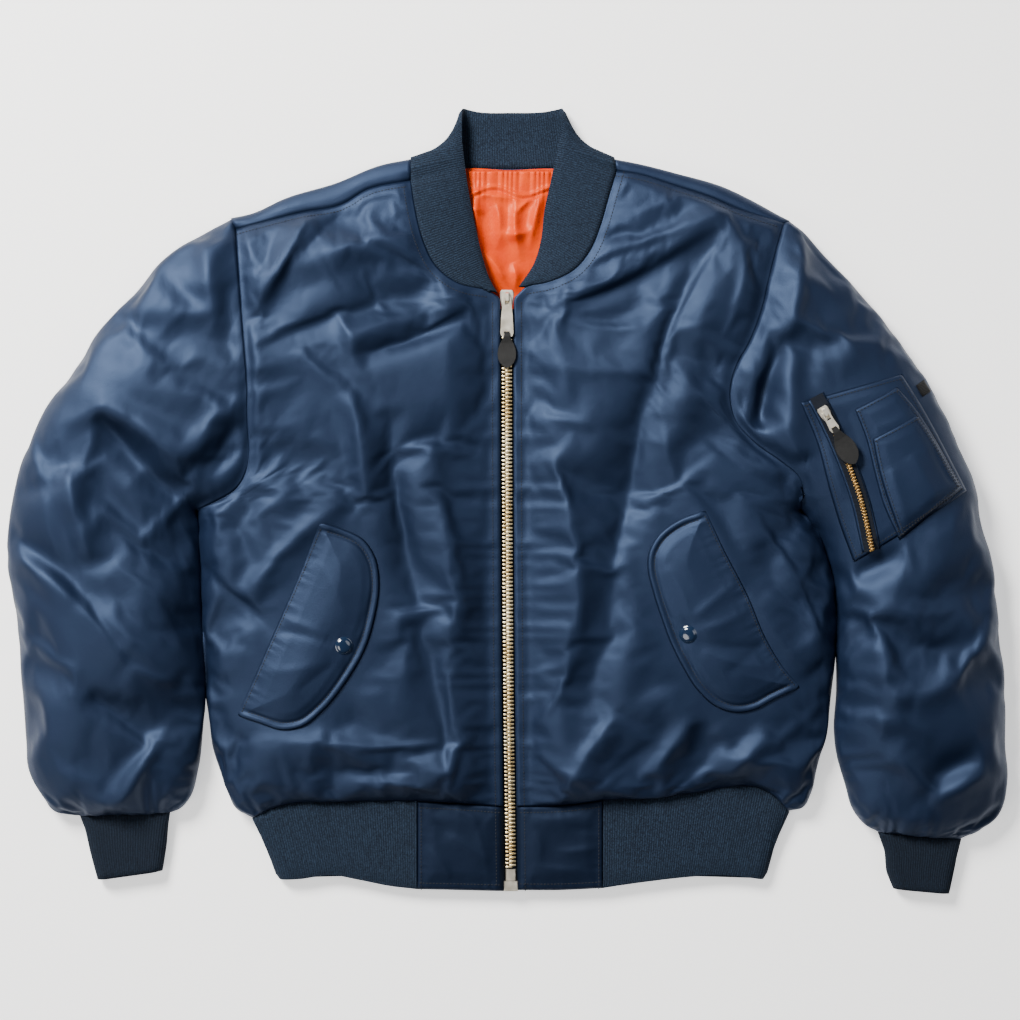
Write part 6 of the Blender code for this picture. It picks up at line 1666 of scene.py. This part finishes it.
def flap(name, base, edge, snap_spot, creases, tree):
    """Padded pad, puffed inside its stitching and drawn down at the hinge and the stud."""
    hinge, loose = fine(base), fine(edge)

    def shape(spots, gap):
        to_hinge, to_edge = nearest(spots, hinge)[0], nearest(spots, loose)[0]
        thick = 2.6 * roll(gap / 3.0) + 1.6 * ease((gap - 7.5) / 10) + 4.2 * ease((gap - 4) / 36)
        thick -= 1.7 * np.exp(-(((to_edge - PAD_STITCH) / 1.6) ** 2))
        thick *= 0.2 + 0.8 * ease(to_hinge / 10)
        run = np.arctan2(spots[:, 1] - snap_spot[1], spots[:, 0] - snap_spot[0])
        ripple = np.sin(13 * run + 1.3 * np.sin(5 * run))
        thick += 0.35 * ripple * np.exp(-(((to_edge - 8.5) / 4.0) ** 2))
        thick += gathers(spots, hinge, 8, 9, 0.8)
        thick += fold_height(spots, creases, math.inf) * ease((gap - 2) / 6)
        away = np.linalg.norm(spots - np.array(snap_spot), axis=1)
        thick -= 1.4 * np.exp(-((away / 14) ** 2)) * roll(gap / 5)
        return np.maximum(thick, 0.3 * roll(gap / 3))

    return pad(name, base, edge, 91, 61, tree, shape)


def stud(name, spot, tree):
    """Domed enamelled cap of a press stud, with a fine rim."""
    around_it = ((0, 0), (4, 0), (-4, 0), (0, 4), (0, -4))
    seat, normal = on_top(np.array(around_it) + spot, tree)
    out = normal.mean(0)
    out /= np.linalg.norm(out)
    down = np.array((0.0, -1.0, 0.0))
    down -= down.dot(out) * out
    down /= np.linalg.norm(down)
    rows = (
        (7.9, -0.6), (8.4, -0.2), (8.4, 0.4), (8.1, 0.75), (7.4, 0.8), (7.1, 1.05), (6.4, 1.75),
        (5.2, 2.3), (3.6, 2.65), (1.8, 2.82), (0.3, 2.86),
    )
    around = 48
    turns = np.linspace(0, 2 * math.pi, around + 1)[:-1]
    points = [(r * math.cos(t), r * math.sin(t), up) for r, up in rows for t in turns]
    seats = [(seat[0], np.cross(out, down), down, out)]
    return copies(name, np.array(points), ring_faces(len(rows), around), seats)


enamel = Look("snap_enamel", Roughness=0.16, Coat_Weight=1.0, Coat_Roughness=0.05)
dark, light = (0.004, 0.012, 0.032, 1), (0.007, 0.018, 0.045, 1)
enamel.paint(Base_Color=enamel.between(enamel.noise(90.0), dark, light))
flaps = []
for side, base, edge, spot, creases, below in (
    ("right", FLAP_BASE_RIGHT, FLAP_EDGE_RIGHT, SNAP_RIGHT, FLAP_CREASES_RIGHT, front_right),
    ("left", FLAP_BASE_LEFT, FLAP_EDGE_LEFT, SNAP_LEFT, FLAP_CREASES_LEFT, front_left),
):
    piece = flap("padded_flap_" + side, base, edge, spot, creases, tree_of(below))
    nylon.dress(piece)
    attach(piece, "jacket")
    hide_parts("flap_" + side)
    side + "_front"
    flaps.append(piece)
    cap = stud("stud_" + side, spot, tree_of(piece))
    enamel.dress(cap)
    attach(cap, "jacket")
    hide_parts("snap_" + side)

# ------------------------------------------------------------ sleeve pocket
# Flat utility pocket stitched to the left sleeve: a zipped pouch, on it a wide pen pocket, and on
# that a shorter pocket whose corner is turned. A small black woven label sits at its top corner.
PEN_LEFT = ((319.6, 83.7), (329.9, 56.4), (337.5, 25.4), (345.9, -4.7), (361.0, -37.6))
PEN_RIGHT = ((359.1, 104.3), (377.9, 82.7), (395.7, 55.5), (409.8, 31.0), (421.1, 11.3))
PEN_FRONT_LEFT = ((335.6, 56.4), (340.3, 32.0), (346.9, 7.5), (354.4, -14.1), (362.8, -35.7))
PEN_FRONT_RIGHT = ((377.9, 78.0), (387.3, 64.9), (398.6, 47.0), (408.9, 28.2), (419.2, 12.2))
# Middle of its zip, x, y, and the two turned edges of the pouch beside it, from and to.
POCKET_ZIP = ((283.9, 95.9), (298.0, 67.7), (314.0, 30.1), (323.4, 3.8), (335.6, -47.0))
ZIP_FOLDS = (("left", -8.5, -3.0), ("right", 3.0, 8.5))
SMALL_PITCH = 2.9
LABEL_LEFT = ((378.4, 106.4), (381.3, 101.0), (384.4, 95.6))
LABEL_RIGHT = ((387.6, 112.4), (390.7, 107.0), (394.0, 101.7))
POCKET_CREASES = (
    (328.1, 0.0, 335.6, -18.8, 348.7, -45.1, 3, 6, 1.2),
    (369.4, -28.2, 392.0, -18.8, 416.4, 0.0, 4, 7, 1.0),
    (290.5, 56.4, 301.7, 28.2, 309.3, 0.0, 3, 6, 1.0),
    (311.1, 84.6, 322.4, 56.4, 328.1, 28.2, 3, 6, -0.8),
)
PEN_CREASES = (
    (337.5, 65.8, 358.1, 71.4, 375.1, 84.6, 4, 6, 0.9),
    (372.2, 42.3, 384.5, 18.8, 395.7, 0.0, 4, 8, 1.2),
    (352.5, 28.2, 360.0, 4.7, 367.5, -18.8, 4, 8, 1.0),
    (391.0, 47.0, 401.4, 28.2, 410.8, 15.0, 4, 6, -0.9),
)


def beside(line, distance):
    """The line moved sideways, to the right of its own direction."""
    way = np.gradient(line, axis=0)
    way /= np.linalg.norm(way, axis=1)[:, None]
    return line + distance * np.stack([way[:, 1], -way[:, 0]], axis=1)


def patch(name, left, right, rows, columns, below, height, creases, spacing):
    """Thin pad with a turned edge, gathered a little where it is sewn down, on the pieces below."""

    def shape(spots, gap):
        thick = height * roll(gap / 1.6) + 0.9 * ease((gap - 3.5) / 9)
        thick += gathers(spots, fine(left), 5, spacing, 0.35)
        thick += gathers(spots, fine(right), 5, spacing + 1.7, 0.35)
        thick += fold_height(spots, creases, math.inf) * ease((gap - 2) / 5)
        return np.maximum(thick, 0.5 * roll(gap / 1.6))

    piece = pad(name, left, right, rows, columns, tree_of(*below), shape, 0.3)
    nylon.dress(piece)
    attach(piece, "jacket")
    return piece


utility = patch(
    "utility_pocket", POCKET_LEFT, POCKET_RIGHT, 81, 61, (sleeve_left,), 1.4, POCKET_CREASES, 12
)
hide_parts("pocket_base")
pen = patch(
    "pen_panel", PEN_LEFT, PEN_RIGHT, 61, 41, (utility, sleeve_left), 1.2, PEN_CREASES, 9
)
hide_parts("pen_pocket")
pen_front = patch(
    "pen_panel_front", PEN_FRONT_LEFT, PEN_FRONT_RIGHT, 51, 31, (pen, utility, sleeve_left), 1.2,
    PEN_CREASES, 8,
)
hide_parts("pen_pocket_front")
for side, first, second in ZIP_FOLDS:
    edges = [beside(fine(POCKET_ZIP), gap)[::2] for gap in (first, second)]
    fold = patch("zip_fold_" + side, *edges, 91, 9, (utility, sleeve_left), 1.6, (), 7)
line = fine(POCKET_ZIP)
line = line[len(line) * 3 // 14 :]
line = evenly(line, 2 * int(length_of(line) / SMALL_PITCH))
spots, normals = on_top(line, tree_of(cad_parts["pocket_zip_chain"]))
seats = []
for i, (spot, way) in enumerate(zip(spots, np.gradient(spots, axis=0))):
    down = way / np.linalg.norm(way)
    side = np.cross(down, (0.0, 0.0, 1.0))
    side /= np.linalg.norm(side)
    seats.append((spot, side if i % 2 else -side, down, np.cross(side, down)))
small_teeth = copies("pocket_zip_teeth", *tooth(SMALL_PITCH, 2.5, -1.9, 0.0), seats)
dull_brass = Look("pocket_brass", Metallic=1.0, Roughness=0.4)
dark, light = (0.34, 0.20, 0.06, 1), (0.52, 0.34, 0.14, 1)
dull_brass.paint(Base_Color=dull_brass.between(dull_brass.noise(60.0), dark, light))
dull_brass.dress(small_teeth)
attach(small_teeth, "jacket")
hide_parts("pocket_zip_chain")
tape_cloth.dress(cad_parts["pocket_zip_tape"])
label_cloth = Look("black_label", Roughness=0.7, Specular_IOR_Level=0.2)
woven = label_cloth.weave(500.0, "DIAGONAL")
label_cloth.paint(
    Base_Color=label_cloth.between(woven, (0.0012, 0.0012, 0.0015, 1), (0.0040, 0.0040, 0.0045, 1)),
    Normal=label_cloth.bumps(woven, 0.0003, 0.5),
)
label = patch("woven_label", LABEL_LEFT, LABEL_RIGHT, 13, 11, (sleeve_left, utility), 0.9, (), 9)
label_cloth.dress(label)
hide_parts("sleeve_label")

# ------------------------------------------------------------ stitching
# Lockstitch in navy thread, about three millimetres a stitch: beside the zip and the neck, along
# the shoulders, and round the flaps, the tabs and the sleeve pocket.
STITCH_PITCH = 3.0
STITCH_LENGTH = 2.2
THREAD = 0.45  # half its thickness
THREAD_LIFT = 0.12  # how far the middle of a stitch lies above the cloth
STEEPEST = 1.2  # rise to run over which a line of stitches is left out
ZIP_SEAM = 13.5  # distance of the seam beside the zip from the zip's middle
NECK_SEAM = 7.5  # and of the others from their own seams
SHOULDER_STITCH = 5.5
TAB_STITCH = 6.0
TAB_SIDE_STITCH = 4.0


def stitch_shape():
    """Short round thread, pulled into the cloth at both ends."""
    points = []
    for along, wide in ((0.0, 0.35), (0.18, 0.9), (0.5, 1.0), (0.82, 0.9), (1.0, 0.35)):
        y = (along - 0.5) * STITCH_LENGTH
        drop = -0.35 * THREAD * abs(2 * along - 1) ** 3
        for k in range(6):
            turn = math.pi * k / 3
            x = THREAD * wide * math.cos(turn)
            points.append((x, y, drop + 0.75 * THREAD * wide * math.sin(turn)))
    return np.array(points), ring_faces(5, 6)


# Navy thread, darker than the cloth: partly its own colour and partly painted shade of the stitched
# groove.
thread = Look("navy_thread_painted_shade", Roughness=0.8)
dark, light = (0.0008, 0.0020, 0.0055, 1), (0.0016, 0.0036, 0.0090, 1)
thread.paint(Base_Color=thread.between(thread.noise(300.0), dark, light))


def stitches(name, lines, *pieces):
    """Rows of stitches along lines of the plan, on the upper side of some pieces."""
    tree = tree_of(*pieces)
    seats = []
    for line in lines:
        spots, normals = on_top(evenly(line, int(length_of(line) / STITCH_PITCH)), tree)
        for spot, way, out in zip(spots, np.gradient(spots, axis=0), normals):
            if abs(way[2]) > STEEPEST * np.linalg.norm(way[:2]):
                continue
            down = way / np.linalg.norm(way)
            side = np.cross(down, out)
            side /= np.linalg.norm(side)
            out = np.cross(side, down)
            seats.append((spot + out * THREAD_LIFT, side, down, out))
    piece = copies(name, *stitch_shape(), seats)
    thread.dress(piece)
    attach(piece, "jacket")


def inwards(border, distance, centre):
    """The border moved towards the centre of its piece."""
    both = [beside(border, gap) for gap in (distance, -distance)]
    return min(both, key=lambda line: np.linalg.norm(line - centre, axis=1).mean())


y = np.linspace(184.0, -286.0, 120)
rows = [beside_zip(y, -ZIP_SEAM), beside_zip(y, ZIP_SEAM)]
for neck, sign in ((NECK_RIGHT, -1), (NECK_LEFT, 1)):
    line, moved = fine(neck), beside(fine(neck), NECK_SEAM)
    outwards = moved[5, 0] * sign > line[5, 0] * sign
    rows.append(moved if outwards else beside(line, -NECK_SEAM))
for seam in (SHOULDER_SEAM_RIGHT, SHOULDER_SEAM_LEFT):
    line, moved = fine(seam), beside(fine(seam), SHOULDER_STITCH)
    rows.append(moved if moved[3, 1] < line[3, 1] else beside(line, -SHOULDER_STITCH))
stitches("stitches_fronts", rows, front_right, front_left)

rows = []
for base, edge in ((FLAP_BASE_RIGHT, FLAP_EDGE_RIGHT), (FLAP_BASE_LEFT, FLAP_EDGE_LEFT)):
    centre = np.array(base + edge).mean(0)
    for border, depth in ((base, 2.6), (edge, PAD_STITCH)):
        rows.append(evenly(inwards(fine(border), depth, centre), 80)[2:-2])
stitches("stitches_flaps", rows, *flaps)

rows = []
for top, bottom, sign in (
    (TAB_TOP_RIGHT, TAB_BOTTOM_RIGHT, 1), (TAB_TOP_LEFT, TAB_BOTTOM_LEFT, -1),
):
    high, low = fine(top), fine(bottom)
    y = np.linspace(high[-1, 1], low[-1, 1], 30)
    rows += [high - (0, TAB_STITCH), low + (0, TAB_STITCH)]
    rows.append(np.linspace(high[0], low[0], 30) + (TAB_SIDE_STITCH * sign, 0))
    rows.append(beside_zip(y, -sign * ZIP_SEAM))
stitches("stitches_tabs", rows, tab_right, tab_left)

rows = []
for left, right, depth in (
    (POCKET_LEFT, POCKET_RIGHT, 4.0), (PEN_LEFT, PEN_RIGHT, 3.2),
    (PEN_FRONT_LEFT, PEN_FRONT_RIGHT, 3.2),
):
    centre = np.array(left + right).mean(0)
    first, second = fine(left), fine(right)
    ends = [np.linspace(first[i], second[i], 20) for i in (0, -1)]
    for border in (first, second, *ends):
        rows.append(evenly(inwards(border, depth, centre), 60)[2:-2])
stitches("stitches_pocket", rows, utility, pen, pen_front)

# ------------------------------------------------------------ floor, light and camera
# White paper on a studio floor. A broad soft light stands at the upper left, and a weak one at the
# lower left and on the right. The camera looks straight down.
bpy.ops.mesh.primitive_plane_add(size=12, location=(0, 0, -0.0002))
floor = bpy.context.object
floor.name = "floor"
paper = Look(
    "paper", Base_Color=(0.93, 0.93, 0.93, 1), Roughness=0.9, Emission_Strength=0.8,
    Emission_Color=(1, 1, 1, 1),
)
paper.dress(floor)

world = bpy.data.worlds.new("studio")
bpy.context.scene.world = world
world.use_nodes = True
background = world.node_tree.nodes["Background"]
background.inputs["Color"].default_value = (0.86, 0.92, 1.0, 1)
background.inputs["Strength"].default_value = 0.05


def area_light(name, spot, aim, size, power, colour):
    bpy.ops.object.light_add(type="AREA", location=spot)
    light = bpy.context.object
    light.name = name
    light.data.shape = "DISK"
    light.data.size = size
    light.data.energy = power
    light.data.color = colour
    way = Vector(aim) - Vector(spot)
    light.rotation_euler = way.to_track_quat("-Z", "Y").to_euler()


area_light("key", (-1.5, 1.7, 2.0), (0, 0, 0), 1.2, 255.0, (1.0, 0.98, 0.95))
area_light("low", (-1.3, -1.3, 2.0), (0, -0.1, 0), 1.6, 28.0, (1.0, 0.98, 0.95))
area_light("fill", (1.8, 0.4, 2.2), (0, 0, 0), 2.0, 18.0, (0.95, 0.97, 1.0))

CAMERA_HEIGHT = 2.413
CLOTH_GAP = 2.4  # from the camera to the folded edge of the jacket
VIEW_WIDTH = 0.9588  # seen at that distance
SENSOR = 36.0
bpy.ops.object.camera_add(location=(0.00222, -0.0089, CAMERA_HEIGHT))
camera = bpy.context.object
camera.data.lens = SENSOR * CLOTH_GAP / VIEW_WIDTH
camera.data.clip_end = 50
bpy.context.scene.camera = camera
